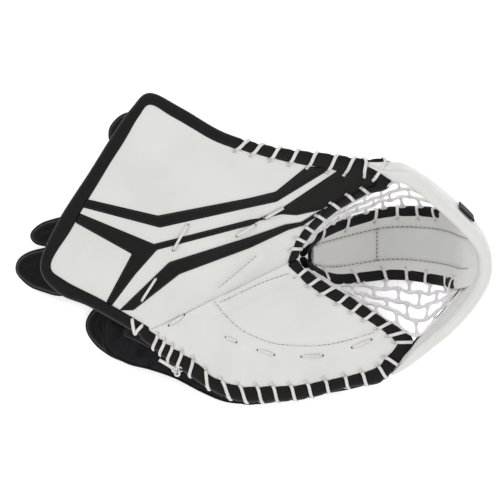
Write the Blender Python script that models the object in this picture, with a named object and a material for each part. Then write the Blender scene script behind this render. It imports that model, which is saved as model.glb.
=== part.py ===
"""Ice hockey goalie catch glove, lying palm up on its backhand pads.

The heel of the hand is at -X and the catching pocket at +X. The glove folds about one line that
runs from the heel to the pocket: the palm and fingers stay, the pocket turns by half of the fold
and the cuff and thumb by all of it. Dimensions are in millimetres, and MM turns them to metres.
"""

import math

import bmesh
import bpy
from mathutils import Vector

MM = 0.001
MIDDLE = (-3.8, -3.3, 0)  # the middle of the base, which becomes the origin

# The palm-up faces of both halves are one height field, creased along the fold line.
HEEL = (-100, -80)
FOLD_DIR = (0.9, 0.437)
HEEL_HEIGHT = 85
PALM_SLOPE = 0.21
THUMB_SLOPE = 0.70
THUMB_SLOPE_FROM = -120
THUMB_SLOPE_RUN = 200
TIP_LIFT = 0.001
TIP_LIFT_FROM = 120

# The laminate, from the leather face down.
FACE = 2.0
FOAM = 7.0
STIFFENER = 1.5
LINING = 1.5
PLY_GAP = 0.5
BINDING_PROUD = 0.6
BINDING_ROUND = 0.8
PANEL_CELL = 34

LACE = 2.4
LACE_GAP = 4.2
LACE_CLEAR = 0.8
LACE_RISE = 0.8
LACE_PITCH = 19.5

STEM_DISH = 7
STEM_FACE = 2
STEM_BACKING = 6
STEM_BINDING = 8
STEM_LACED = (0.06, 0.92)

RING_LEAN = Vector((0, -0.42, 0.9))
RING_THICK = 12
RING_LINING = 1.5
# Sections of the crossbar's band and its lining, as shares of half the width and of the thickness.
RING_SECTION = ((1, 0.25), (0.75, 1), (-0.75, 1), (-1, 0.25), (-0.85, -1), (0.85, -1))
RING_LINING_SECTION = ((0.8, 0), (-0.8, 0), (-0.8, 1), (0.8, 1))
TAB_WIDTH = 16
TAB_ROWS = (11, 12, 13)  # the rows of the crossbar's smooth centre line that the tab lies along

PAD_HEIGHT = 21
BASE_TOP = 24
BASE = 2.4
PAD_ROUND = 4
WEBBING = 2.4
STALL_WALL = 3
STALL_UNDER_LEAF = 6
STALL_CORNER = 6
DIVIDER_FLOOR = 32
DIVIDER_UNDER_LEAF = 13
GUARD_ARCH = (4, 8, 11)  # under the thumb stall: the guard's upper edge, its sides and its middle
STRIPE_LIFT = 2.0
STRIPE = 0.8
STRAND = 2.6
CELL_CORNER = 0.17  # how far a net cell's corners stand out of their row
WEB_GAP = 6
WEB_FROM = 44  # the webs meet the crossbar beyond this distance from its middle

# Outlines: each row is a point on the outer edge of the binding and the one beside it on its inner
# edge. The cuff and thumb's runs from the heel round the cuff and the thumb tip to the crotch.
THUMB_EDGE = (
    (-108, -86, -101, -76),
    (-158, -57, -148, -48),
    (-189, -43, -184, -29),
    (-207, -17, -196, -14),
    (-190, 26, -176, 19),
    (-157, 77, -147, 68),
    (-134, 113, -123, 106),
    (-116, 138, -108, 130),
    (-98, 153, -97, 141),
    (-67, 138, -74, 128),
    (-24, 113, -32, 104),
    (25, 99, 22, 88),
    (81, 92, 78, 77),
    (109, 88, 104, 73),
    (134, 86, 119, 72),
    (136, 63, 119, 66),
    (112, 56, 108, 64),
    (84, 44, 78, 52),
    (66, 31, 59, 38),
    (56, 17, 48, 22),
    (50, 5, 41, 8),
    (48, -7, 38, -12),
)
# The palm and fingers' runs on from the crotch round the finger tips to the heel.
PALM_EDGE = (
    (48, -11, 38, -17),
    (55, -19, 49, -28),
    (80, -36, 71, -44),
    (100, -47, 94, -57),
    (134, -69, 126, -77),
    (163, -88, 146, -92),
    (163, -106, 144, -100),
    (150, -122, 138, -110),
    (132, -134, 128, -118),
    (101, -139, 102, -126),
    (54, -151, 54, -135),
    (10, -154, 10, -137),
    (-14, -152, -16, -135),
    (-36, -143, -38, -127),
    (-60, -127, -53, -113),
    (-86, -108, -77, -97),
    (-109, -88, -101, -79),
)
# The laced stretches: between which rows of an edge, and the share of that stretch to lace.
TOP_LACED = (10, 13, 0.1, 0.96)
THUMB_INNER_LACED = (16, 21, 0.03, 0.95)
FINGER_LACED = (1, 5, 0.0, 0.93)
PALM_LACED = (7, 16, 0.0, 0.95)

# Sewn-on stripes of the cuff and thumb face.
UPPER_STRIPE = (
    (-151, 46), (-91, 32), (0, 49), (25, 54), (54, 73), (72, 71), (27, 47), (0, 42), (-89, 23), (-154, 38),
)
MIDDLE_STRIPE = (
    (-159, 31), (-95, 4), (0, 28), (16, 30), (33, 38), (84, 66), (84, 60), (70, 55), (52, 43), (42, 37),
    (31, 33), (14, 26), (0, 21), (-92, -3), (-114, -26), (-131, -50), (-136, -47), (-117, -7), (-163, 22),
)
LOWER_STRIPE = (
    (-122, -55), (-80, -13), (0, 10), (32, 22), (36, 21), (30, 14), (0, 1), (-70, -26), (-109, -57),
)

# Centre line of the stem between the two webs: x, y, z and half of its width, bindings included.
STEM = (
    (53, -8, 62, 6),
    (68, -7, 49, 20),
    (87, -4, 31, 29),
    (113, -1, 16, 33),
    (139, 2, 9, 36),
    (165, 4, 12, 38),
    (190, 5, 28, 40),
    (204, 5, 55, 40),
    (209, 4, 82, 37),
    (210, 3, 98, 30),
)

# Centre lines of the crossbar's halves: x, y, z and half of the band's width.
CROSSBAR_THUMB = (
    (124, 79, 149, 4),
    (134, 78, 152, 9),
    (156, 69, 153, 16),
    (181, 51, 149, 20),
    (204, 32, 142, 21),
    (221, 14, 134, 21),
    (227, 6, 130, 20),
)
CROSSBAR_FINGER = (
    (229, -4, 126, 20),
    (229, -17, 121, 21),
    (223, -34, 112, 21),
    (212, -52, 103, 20),
    (196, -72, 93, 17),
    (178, -90, 84, 12),
    (166, -102, 79, 7),
)

# Where the webs are tied under the two leaves, from the crotch to the crossbar.
WEB_THUMB_EDGE = ((74, 27, 88), (88, 38, 96), (104, 46, 103), (124, 52, 112))
WEB_FINGER_EDGE = ((76, -23, 68), (96, -34, 68), (122, -50, 70), (150, -68, 73))

# Stalls under the leaves: x, y, half of the width, and the floor's height.
HAND_SHELL = (
    (-118, -48, 40, 30),
    (-70, -62, 46, 27),
    (-10, -84, 44, 25),
    (50, -100, 38, 25),
    (100, -104, 26, 28),
    (132, -106, 16, 34),
)
THUMB_STALL = (
    (-72, 20, 26, 48),
    (-30, 30, 26, 56),
    (20, 44, 24, 70),
    (66, 60, 18, 84),
    (84, 70, 6, 96),
)

# Outlines of the pads that the glove lies on, of the sheet they are sewn to, and of the cuff's pads.
BACKHAND_WRIST = (
    (-164, -62), (-171, -76), (-166, -92), (-148, -108), (-126, -117), (-114, -120), (-110, -100),
    (-110, -20), (-114, 12), (-128, 20), (-144, 12), (-147, -20), (-152, -46),
)
BACKHAND_KNUCKLES = (
    (-62, -138), (-40, -151), (-14, -158), (14, -158.5), (22, -130), (24, -60), (28, -10), (20, 6),
    (-30, 10), (-64, 4), (-70, -40), (-68, -90),
)
BACKHAND_FINGERS = (
    (28, -157), (62, -150), (98, -144), (128, -136), (144, -122), (134, -104), (96, -92), (50, -76),
    (28, -80),
)
BACKHAND_BASE = (
    (-148, -60), (-150, -98), (-128, -115), (-103, -122), (-77, -131), (-52, -144), (-29, -154),
    (-10, -157), (14, -157), (41, -152), (62, -148), (98, -143), (128, -134), (140, -120), (132, -106),
    (100, -94), (40, -72), (30, -40), (26, -4), (10, 4), (-30, 6), (-70, 0), (-78, -14), (-106, -14),
    (-112, 4), (-130, 14), (-146, 4), (-150, -28),
)
WRIST_GUARD_LOW = (
    (-160, -34), (-175, -44), (-198, -47), (-226, -38), (-243, -22), (-238, -8), (-220, 0), (-190, 4),
    (-156, 2),
)
WRIST_GUARD_HIGH = (
    (-150, 2), (-186, 6), (-214, 4), (-226, 14), (-216, 26), (-190, 34), (-150, 40),
)
CUFF_BOLSTER = ((-90, 96), (-110, 132), (-126, 136), (-140, 122), (-138, 104), (-120, 84), (-96, 80))

# Centre lines in plan of the divider between the finger stalls, and of the wrist's webbing.
DIVIDER = ((6, -88), (50, -100), (98, -104))
WRIST_STRAP = (
    (-92, -100, 15), (-92, -60, 14), (-92, -20, 14), (-92, -5, 22),
    (-92, -3, 40), (-92, -2, 66),
)
STRAP_TAB = ((-92, 2, 66), (-92, 2, 50), (-92, 3, 34), (-92, 4, 20))

BLACK = (0.012, 0.012, 0.013)
WHITE = (0.68, 0.69, 0.67)
LACE_WHITE = (0.76, 0.75, 0.73)
GREY_FOAM = (0.12, 0.12, 0.13)
STIFF_WHITE = (0.55, 0.55, 0.55)


def smooth_step(t):
    t = max(0.0, min(1.0, t))
    return t * t * (3 - 2 * t)


def leaf_height(x, y):
    """Height of the leather face above the floor."""
    along = (x - HEEL[0]) * FOLD_DIR[0] + (y - HEEL[1]) * FOLD_DIR[1]
    across = (y - HEEL[1]) * FOLD_DIR[0] - (x - HEEL[0]) * FOLD_DIR[1]
    slope = PALM_SLOPE
    if across > 0:
        share = smooth_step((x - THUMB_SLOPE_FROM) / THUMB_SLOPE_RUN)
        slope += (THUMB_SLOPE - PALM_SLOPE) * share
    lift = TIP_LIFT * max(0, along - TIP_LIFT_FROM) ** 2
    return HEEL_HEIGHT + across * slope + lift


LAMINATE = FACE + FOAM + STIFFENER + LINING + 3 * PLY_GAP


def leaf_underside(x, y):
    return leaf_height(x, y) - LAMINATE


def material(name, colour, roughness):
    found = bpy.data.materials.get(name)
    if found:
        return found
    made = bpy.data.materials.new(name)
    made.use_nodes = True
    shader = made.node_tree.nodes["Principled BSDF"]
    shader.inputs["Base Color"].default_value = (*colour, 1)
    shader.inputs["Roughness"].default_value = roughness
    return made


def add_object(name, points, faces, colour, roughness=0.6):
    """One sub-part from points in millimetres."""
    mesh = bpy.data.meshes.new(name)
    mesh.from_pydata([(Vector(p) - Vector(MIDDLE)) * MM for p in points], [], faces)
    form = bmesh.new()
    form.from_mesh(mesh)
    bmesh.ops.recalc_face_normals(form, faces=form.faces)
    if form.calc_volume(signed=True) < 0:
        bmesh.ops.reverse_faces(form, faces=form.faces)
    form.to_mesh(mesh)
    form.free()
    mesh.shade_smooth()
    mesh.set_sharp_from_angle(angle=math.radians(35))
    made = bpy.data.objects.new(name, mesh)
    made.data.materials.append(material(name, colour, roughness))
    bpy.context.scene.collection.objects.link(made)
    return made


def spline(points, steps):
    """A smooth curve through the points, with steps spans between each two."""
    rows = [Vector(p) for p in points]
    rows = [2 * rows[0] - rows[1], *rows, 2 * rows[-1] - rows[-2]]
    found = []
    for i in range(1, len(rows) - 2):
        before, a, b, after = rows[i - 1 : i + 3]
        for step in range(steps):
            t = step / steps
            found.append(
                0.5
                * (
                    2 * a
                    + (b - before) * t
                    + (2 * before - 5 * a + 4 * b - after) * t**2
                    + (3 * a - 3 * b + after - before) * t**3
                )
            )
    return found + [rows[-2]]


def lengths_along(rows, dims=2):
    """The running length at each row, measured on the first dims numbers."""
    lengths = [0]
    for a, b in zip(rows, rows[1:]):
        lengths.append(lengths[-1] + (Vector(b[:dims]) - Vector(a[:dims])).length)
    return lengths


def at_share(rows, share, dims=2):
    """The row at a share of the list's length."""
    lengths = lengths_along(rows, dims)
    wanted = share * lengths[-1]
    for i in range(1, len(rows)):
        if lengths[i] >= wanted:
            part = (wanted - lengths[i - 1]) / (lengths[i] - lengths[i - 1])
            return rows[i - 1].lerp(rows[i], part)
    return rows[-1]


def sweep(name, sections, colour, roughness=0.6):
    """A solid from sections of equally many points, closed at both ends."""
    count = len(sections[0])
    points = [p for section in sections for p in section]
    faces = []
    for row in range(len(sections) - 1):
        for i in range(count):
            j = (i + 1) % count
            faces.append(
                (row * count + i, row * count + j, (row + 1) * count + j, (row + 1) * count + i)
            )
    faces.append(tuple(reversed(range(count))))
    faces.append(tuple(range(len(points) - count, len(points))))
    return add_object(name, points, faces, colour, roughness)


def sheet(name, outline, top, thickness, colour, roughness=0.6, cell=PANEL_CELL):
    """A ply cut to the outline, whose upper face lies at top(x, y)."""
    form = bmesh.new()
    form.faces.new([form.verts.new((x, y, 0)) for x, y in outline])
    for axis in (0, 1):
        values = [p[axis] for p in outline]
        line = math.floor(min(values) / cell) + 1
        normal = (1, 0, 0) if axis == 0 else (0, 1, 0)
        while line * cell < max(values):
            bmesh.ops.bisect_plane(
                form,
                geom=form.verts[:] + form.edges[:] + form.faces[:],
                plane_co=Vector(normal) * line * cell,
                plane_no=normal,
                dist=0.5,
            )
            line += 1
    bmesh.ops.triangulate(form, faces=form.faces[:])
    form.verts.index_update()
    flat = [v.co.copy() for v in form.verts]
    uppers = [(p.x, p.y, top(p.x, p.y)) for p in flat]
    points = uppers + [(x, y, z - thickness) for x, y, z in uppers]
    count = len(flat)
    faces = []
    for face in form.faces:
        around = [v.index for v in face.verts]
        faces.append(tuple(around))
        faces.append(tuple(i + count for i in reversed(around)))
    for edge in form.edges:
        if len(edge.link_faces) == 1:
            a, b = (v.index for v in edge.verts)
            faces.append((a, b, b + count, a + count))
    form.free()
    return add_object(name, points, faces, colour, roughness)


def clear_scene():
    for thing in list(bpy.data.objects):
        bpy.data.objects.remove(thing)


def panel_outline(edge, fold_edge_gap):
    """The plies' outline: inside the binding by the gap that the lace runs in."""
    rows = spline(edge, 2)
    found = []
    for row in rows:
        outer, inner = Vector(row[:2]), Vector(row[2:])
        found.append(inner + (inner - outer).normalized() * LACE_GAP)
    side = Vector((-FOLD_DIR[1], FOLD_DIR[0]))
    heel = Vector(HEEL)
    kept = []
    for p in found:
        across = (p - heel).dot(side)
        if across * fold_edge_gap < fold_edge_gap**2:
            p = p + side * (fold_edge_gap - across)
        kept.append(p)
    return [tuple(p) for p in kept]


def laminate(prefix, edge, fold_edge_gap):
    """The four plies of one half of the glove."""
    outline = panel_outline(edge, fold_edge_gap)
    plies = (
        ("face", FACE, WHITE, 0.5),
        ("foam", FOAM, GREY_FOAM, 0.9),
        ("stiffener", STIFFENER, STIFF_WHITE, 0.4),
        ("lining", LINING, BLACK, 0.9),
    )
    depth = 0.0
    for ply, thickness, colour, roughness in plies:
        sheet(
            f"{prefix}_{ply}",
            outline,
            lambda x, y, depth=depth: leaf_height(x, y) - depth,
            thickness,
            colour,
            roughness,
        )
        depth += thickness + PLY_GAP


def binding(name, edge):
    """The folded strip that closes the plies' edges."""
    sections = []
    for row in spline(edge, 2):
        outer, inner = Vector(row[:2]), Vector(row[2:])
        out = (outer - inner).normalized() * BINDING_ROUND
        high_out = leaf_height(*outer) + BINDING_PROUD - BINDING_ROUND
        high_in = leaf_height(*inner) + BINDING_PROUD
        low_out = leaf_underside(*outer) - BINDING_PROUD + BINDING_ROUND
        low_in = leaf_underside(*inner) - BINDING_PROUD
        sections.append(
            (
                (*outer, high_out),
                (*(outer + out), (high_out + low_out) / 2),
                (*outer, low_out),
                (*inner, low_in),
                (*inner, high_in),
            )
        )
    return sweep(name, sections, BLACK, 0.55)


def tube(name, route, diameter, colour, sides=4):
    """A lace along a route, as a polygon section carried with little twist."""
    route = [Vector(p) for p in route]
    sections = []
    across = None
    for i, point in enumerate(route):
        ahead = route[min(i + 1, len(route) - 1)] - point
        behind = point - route[max(i - 1, 0)]
        along = (ahead.normalized() + behind.normalized()).normalized()
        if across is None:
            across = along.orthogonal().normalized()
        across = (across - along * across.dot(along)).normalized()
        other = along.cross(across)
        ring = []
        for k in range(sides):
            turn = 2 * math.pi * k / sides
            ring.append(point + (across * math.cos(turn) + other * math.sin(turn)) * diameter / 2)
        sections.append(ring)
    return sweep(name, sections, colour, 0.7)


def edge_lace(name, edge, laced):
    """Whip stitches: the corners of each turn, moving on by a quarter of the pitch at each."""
    first, last, start, end = laced
    rows = spline(edge, 2)[2 * first : 2 * last + 1]
    turns = max(1, round((end - start) * lengths_along(rows)[-1] / LACE_PITCH))
    route = []
    for step in range(4 * turns + 1):
        share = start + (end - start) * step / (4 * turns)
        route.append(leaf_corner(at_share(rows, share), step % 4))
    return tube(name, route, LACE, LACE_WHITE)


def leaf_corner(row, quarter):
    """Corners of one turn round a leaf's binding: inner top, outer top, outer foot, inner foot."""
    outer, inner = Vector(row[:2]), Vector(row[2:])
    out = (outer - inner).normalized()
    reach = LACE / 2 + LACE_CLEAR
    beyond = outer + out * (BINDING_ROUND + reach)
    within = inner - out * (LACE_GAP / 2)
    rise = BINDING_PROUD + reach
    if quarter == 0:
        return (*within, leaf_height(*inner) + rise + LACE_RISE)
    if quarter == 1:
        return (*beyond, leaf_height(*outer) + rise + LACE_RISE / 2)
    if quarter == 2:
        return (*beyond, leaf_underside(*outer) - rise)
    return (*within, leaf_underside(*inner) - rise - LACE_RISE)


def stem_frame(row):
    """Centre, inward normal and half width at a point of the stem."""
    rows = spline(STEM, 2)
    near = min(range(len(rows)), key=lambda i: (rows[i] - row).length)
    a, b = rows[max(near - 1, 0)], rows[min(near + 1, len(rows) - 1)]
    along = Vector((b[0] - a[0], 0, b[2] - a[2])).normalized()
    return Vector(row[:3]), Vector((-along.z, 0, along.x)), row[3]


def stem_point(row, across, depth):
    """A point of the stem: across in millimetres from its middle, depth under its face."""
    centre, normal, half = stem_frame(row)
    dish = STEM_DISH * (across / half) ** 2 if half else 0
    return centre + Vector((0, across, 0)) + normal * (dish - depth)


def stem_strip(name, left, right, depth, thickness, colour, roughness, spans, rows):
    """A strip of the stem between two distances from its middle, given as functions of its half width."""
    sections = []
    for row in rows:
        near, far = left(row[3]), right(row[3])
        upper = [stem_point(row, near + (far - near) * i / spans, depth) for i in range(spans + 1)]
        lower = [
            stem_point(row, far + (near - far) * i / spans, depth + thickness)
            for i in range(spans + 1)
        ]
        sections.append(upper + lower)
    return sweep(name, sections, colour, roughness)


def stem_panel_edge(side):
    """Where the stem's plies end on one side, as a function of its half width."""
    return lambda half: side * (half - STEM_BINDING - LACE_GAP)


def stem_lace(name, side, turns, body, deep):
    """Whip stitches round the stem's binding on one side."""
    reach = BINDING_PROUD + LACE / 2 + LACE_CLEAR
    corners = (
        (STEM_BINDING + LACE_GAP / 2, -reach),
        (BINDING_PROUD - reach, -reach),
        (BINDING_PROUD - reach, deep - 2 * BINDING_PROUD + reach),
        (STEM_BINDING + LACE_GAP / 2, deep - 2 * BINDING_PROUD + reach),
    )
    start, end = STEM_LACED
    rows = [Vector((row[0] + row[2], *row)) for row in body]
    route = []
    for step in range(4 * turns + 1):
        row = Vector(at_share(rows, start + (end - start) * step / (4 * turns))[1:])
        inward, depth = corners[step % 4]
        route.append(stem_point(row, side * (row[3] - inward), depth))
    tube(name, route, LACE, LACE_WHITE)


def stem():
    """The dished stem of the webs: leather, backing, and a bound and laced edge on each side."""
    rows = spline(STEM, 2)
    body = rows[2:]
    left, right = stem_panel_edge(-1), stem_panel_edge(1)
    under = STEM_FACE + PLY_GAP
    stem_strip("stem_face", left, right, 0, STEM_FACE, WHITE, 0.5, 4, body)
    stem_strip("stem_backing", left, right, under, STEM_BACKING, BLACK, 0.9, 4, body)
    deep = under + STEM_BACKING + 2 * BINDING_PROUD
    for side, name, turns in ((1, "thumb", 7), (-1, "finger", 8)):
        stem_strip(
            f"stem_binding_{name}",
            lambda half, side=side: side * half,
            lambda half, side=side: side * (half - STEM_BINDING),
            -BINDING_PROUD, deep, BLACK, 0.55, 1, rows[1:],
        )
        stem_lace(f"stem_lace_{name}", side, turns, body, deep)


def ring_frame(rows, i):
    """Band direction and outward direction of the crossbar at one of its points."""
    a, b = rows[max(i - 1, 0)], rows[min(i + 1, len(rows) - 1)]
    along = Vector((b - a)[:3]).normalized()
    band = (RING_LEAN - along * RING_LEAN.dot(along)).normalized()
    outward = band.cross(along).normalized()
    return band, outward


def crossbar_half(name, lining_name, line):
    """A half of the crossbar's crowned band, and the lining under it."""
    rows = spline(line, 3)
    pads, linings = [], []
    for i, row in enumerate(rows):
        centre, half = Vector(row[:3]), row[3]
        band, outward = ring_frame(rows, i)
        thick = min(RING_THICK / 2, half * 0.8)
        pads.append([centre + band * half * b + outward * thick * o for b, o in RING_SECTION])
        inner = thick + PLY_GAP
        linings.append(
            [
                centre + band * half * b - outward * (inner + RING_LINING * o)
                for b, o in RING_LINING_SECTION
            ]
        )
    sweep(name, pads, WHITE, 0.5)
    sweep(lining_name, linings[3:-3], BLACK, 0.8)


def web(name, edge_a, edge_b, columns, rows_across):
    """A net of lace between two edges: a mesh of six-sided cells made into strands."""
    points, index, faces = [], {}, []
    ends = 2 * columns + 1

    def corner(column, row):
        key = (column, row)
        if key in index:
            return index[key]
        share = column / ends
        shift = 0
        if 0 < row < rows_across:
            shift = CELL_CORNER if (column + row) % 2 else -CELL_CORNER
        across = (row + shift) / rows_across
        a, b = at_share(edge_a, share, 3), at_share(edge_b, share, 3)
        index[key] = len(points)
        points.append(a.lerp(b, across))
        return index[key]

    for row in range(rows_across):
        start = row % 2
        for column in range(start, ends - 1, 2):
            low = [corner(column + k, row) for k in range(3)]
            high = [corner(column + k, row + 1) for k in (2, 1, 0)]
            faces.append(tuple(low + high))
    made = add_object(name, points, faces, LACE_WHITE, 0.7)
    wires = made.modifiers.new("strands", "WIREFRAME")
    wires.thickness = STRAND * MM
    wires.use_boundary = True
    wires.use_replace = True
    wires.use_even_offset = False
    return made


def cup(name, stations, depth_under, walls, colour, roughness=0.8):
    """A pouch along its stations, open at the first one and closed at the last.

    A station is x, y, half of its width, and its floor's height. Its roof lies under the leaf.
    """
    rows = spline(stations, 2)
    outer, inner = [], []
    for i, row in enumerate(rows):
        a, b = rows[max(i - 1, 0)], rows[min(i + 1, len(rows) - 1)]
        side = Vector((-(b - a)[1], (b - a)[0])).normalized()
        centre = Vector(row[:2])
        outer.append(pouch_section(centre, side, row[2], row[3], depth_under, 0))
        inner.append(pouch_section(centre, side, row[2], row[3], depth_under, walls))
    back = 1 + math.ceil(walls / ((rows[-1] - rows[-2]).length + 1e-6))
    inner = inner[:-back]
    count = len(outer[0])
    loops = outer[::-1] + inner
    points = [p for loop in loops for p in loop]
    faces = []
    for row in range(len(loops) - 1):
        for i in range(count):
            j = (i + 1) % count
            faces.append(
                (row * count + i, row * count + j, (row + 1) * count + j, (row + 1) * count + i)
            )
    faces.append(tuple(reversed(range(count))))
    faces.append(tuple(range(len(points) - count, len(points))))
    return add_object(name, points, faces, colour, roughness)


def pouch_section(centre, side, half, floor, depth_under, inset):
    """One ring of a pouch, its roof along the leaf's underside and its floor rounded at the sides."""
    wide = half - inset
    roof = []
    for share in (1, 0.5, 0, -0.5, -1):
        x, y = centre + side * wide * share
        roof.append((x, y, leaf_underside(x, y) - depth_under - inset))
    low = [
        (*(centre - side * wide), floor + STALL_CORNER + inset),
        (*(centre - side * wide * 0.8), floor + inset),
        (*(centre + side * wide * 0.8), floor + inset),
        (*(centre + side * wide), floor + STALL_CORNER + inset),
    ]
    return roof + low


def pad(name, outline, low, high, colour=BLACK, edge=PAD_ROUND, roughness=0.85):
    """A flat soft pad with rounded rims, from a hand-set outline."""
    rows = spline([*outline, outline[0]], 2)[:-1]
    middle = sum(rows, Vector((0,) * len(rows[0]))) / len(rows)
    loops = []
    for shrink, height in ((edge, low), (0, low + edge), (0, high - edge), (edge, high)):
        loops.append([(*(p + (middle - p).normalized() * shrink), height) for p in rows])
    return sweep(name, loops, colour, roughness)


def strap(name, route, width_axis, width, thickness, colour, roughness=0.7):
    """A flat band of webbing along a route."""
    rows = spline(route, 2)
    wide = Vector(width_axis).normalized() * width / 2
    sections = []
    for i, row in enumerate(rows):
        along = (rows[min(i + 1, len(rows) - 1)] - rows[max(i - 1, 0)]).normalized()
        up = along.cross(wide).normalized() * thickness / 2
        sections.append([row + wide + up, row - wide + up, row - wide - up, row + wide - up])
    return sweep(name, sections, colour, roughness)


def webs():
    """The two nets, each hung between the stem and a leaf, and from the crossbar."""
    ring_rows = {}
    for side, line in ((1, CROSSBAR_THUMB), (-1, CROSSBAR_FINGER)):
        rows = spline(line, 3)
        edge = []
        for i, row in enumerate(rows):
            if side * row[1] < WEB_FROM:
                continue
            band, outward = ring_frame(rows, i)
            edge.append(Vector(row[:3]) - band * row[3] / 2 - outward * (RING_THICK / 2 + WEB_GAP + 1))
        ring_rows[side] = edge if side > 0 else edge[::-1]
    stem_rows = spline(STEM, 2)[3:]
    for side, name in ((1, "thumb_web"), (-1, "finger_web")):
        near = [stem_point(row, side * (row[3] + WEB_GAP), STEM_FACE) for row in stem_rows]
        far = [Vector(p) for p in (WEB_THUMB_EDGE if side > 0 else WEB_FINGER_EDGE)]
        far += ring_rows[side][4:]
        web(name, near, far, 6, 3)


def finger_divider():
    """The web of leather between the finger stalls."""
    sections = []
    low = DIVIDER_FLOOR
    for x, y in spline(DIVIDER, 3):
        roof = leaf_underside(x, y) - DIVIDER_UNDER_LEAF
        sections.append([(x, y - 1, low), (x, y + 1, low), (x, y + 1, roof), (x, y - 1, roof)])
    return sweep("finger_divider", sections, BLACK, 0.8)


def thumb_back_guard():
    """The stiff plate that covers the back of the thumb."""
    top, side, middle = GUARD_ARCH
    sections = []
    for x, y, half, floor in spline(THUMB_STALL, 2)[1:]:
        left, right = y - half * 0.85, y + half * 0.85
        arch = ((left, top), (left, side), (y, middle), (right, side), (right, top))
        sections.append([(x, across, floor - down) for across, down in arch])
    return sweep("thumb_back_guard", sections, BLACK, 0.5)


def crossbar_tab():
    """A small pull tab on the outer face of the crossbar."""
    rows = spline(CROSSBAR_THUMB, 3)
    half = TAB_WIDTH / 2
    section = ((-half, 0), (half, 0), (half, WEBBING), (-half, WEBBING))
    sections = []
    for i in TAB_ROWS:
        band, outward = ring_frame(rows, i)
        near = Vector(rows[i][:3]) + outward * (RING_THICK / 2 + 1)
        sections.append([near + band * across + outward * out for across, out in section])
    return sweep("crossbar_tab", sections, BLACK, 0.6)


def stripe_height(x, y):
    return leaf_height(x, y) + STRIPE_LIFT


def base_height(x, y):
    return BASE_TOP


clear_scene()
laminate("thumb", THUMB_EDGE, 0.6)
laminate("palm", PALM_EDGE, -0.6)
binding("thumb_binding", THUMB_EDGE)
binding("palm_binding", PALM_EDGE)
edge_lace("thumb_top_lace", THUMB_EDGE, TOP_LACED)
edge_lace("thumb_inner_lace", THUMB_EDGE, THUMB_INNER_LACED)
edge_lace("finger_edge_lace", PALM_EDGE, FINGER_LACED)
edge_lace("palm_edge_lace", PALM_EDGE, PALM_LACED)
stem()
crossbar_half("crossbar_thumb_half", "crossbar_lining_thumb", CROSSBAR_THUMB)
crossbar_half("crossbar_finger_half", "crossbar_lining_finger", CROSSBAR_FINGER)
crossbar_tab()
webs()
for name, outline in (("upper", UPPER_STRIPE), ("middle", MIDDLE_STRIPE), ("lower", LOWER_STRIPE)):
    sheet(f"{name}_stripe", outline, stripe_height, STRIPE, BLACK, 0.4)
cup("hand_shell", HAND_SHELL, STALL_UNDER_LEAF, STALL_WALL, BLACK)
cup("thumb_stall", THUMB_STALL, STALL_UNDER_LEAF, STALL_WALL, BLACK)
finger_divider()
thumb_back_guard()
strap("wrist_strap", WRIST_STRAP, (1, 0, 0), 26, WEBBING, BLACK)
strap("strap_tab", STRAP_TAB, (1, 0, 0), 24, WEBBING, BLACK)
pad("backhand_wrist_pad", BACKHAND_WRIST, 0, PAD_HEIGHT)
pad("backhand_knuckle_pad", BACKHAND_KNUCKLES, 0, PAD_HEIGHT)
pad("backhand_finger_pad", BACKHAND_FINGERS, 0, PAD_HEIGHT)
sheet("backhand_base", BACKHAND_BASE, base_height, BASE, BLACK, 0.8, 400)
pad("wrist_guard_low", WRIST_GUARD_LOW, 1, 26)
pad("wrist_guard_high", WRIST_GUARD_HIGH, 26.6, 46)
pad("cuff_bolster", CUFF_BOLSTER, 83, 103)
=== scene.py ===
"""An ice hockey goalie's catch glove, lying palm up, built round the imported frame.

Lengths in the sections are in the glove's own millimetres, counted from the crossing of the rows
of the outlines; place() turns them to the frame's metres.
"""

import math

import bmesh
import bpy
import numpy as np
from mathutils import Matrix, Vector, geometry


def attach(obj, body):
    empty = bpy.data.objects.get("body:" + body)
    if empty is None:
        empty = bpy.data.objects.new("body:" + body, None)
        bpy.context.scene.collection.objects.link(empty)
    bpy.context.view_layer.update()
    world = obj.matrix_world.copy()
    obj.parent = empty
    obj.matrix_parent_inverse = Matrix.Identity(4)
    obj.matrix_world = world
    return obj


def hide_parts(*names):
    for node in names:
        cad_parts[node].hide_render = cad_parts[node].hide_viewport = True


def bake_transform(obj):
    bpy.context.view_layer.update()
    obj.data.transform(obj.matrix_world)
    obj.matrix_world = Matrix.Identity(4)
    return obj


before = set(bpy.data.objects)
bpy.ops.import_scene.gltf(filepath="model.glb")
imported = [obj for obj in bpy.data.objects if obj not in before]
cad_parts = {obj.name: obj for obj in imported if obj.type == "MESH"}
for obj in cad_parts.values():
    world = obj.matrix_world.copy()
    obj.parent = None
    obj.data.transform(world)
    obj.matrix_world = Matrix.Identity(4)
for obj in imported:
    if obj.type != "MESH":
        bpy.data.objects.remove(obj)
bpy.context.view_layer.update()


# Floor, light and camera: a pale table seen from straight above, under large soft lamps with a
# stronger one from the upper left, as a product is lit on a light table.
MM = 0.001
SHIFT = Vector((3.8, 3.3, 0))


def place(point):
    """A point in the glove's millimetres as one in the frame's metres."""
    return (Vector(point) + SHIFT) * MM


def linear(colour):
    """An sRGB hex colour as linear red, green, blue and alpha."""
    parts = [int(colour[i : i + 2], 16) / 255 for i in (1, 3, 5)]
    return [p / 12.92 if p <= 0.04045 else ((p + 0.055) / 1.055) ** 2.4 for p in parts] + [1]


def add_node(tree, kind, settings=None, links=None):
    """A shader node with its attributes or input values set, and its inputs linked."""
    node = tree.nodes.new(kind)
    for key, value in (settings or {}).items():
        if isinstance(key, str) and hasattr(node, key):
            setattr(node, key, value)
        else:
            node.inputs[key].default_value = value
    for key, source in (links or {}).items():
        tree.links.new(source, node.inputs[key])
    return node


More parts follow.
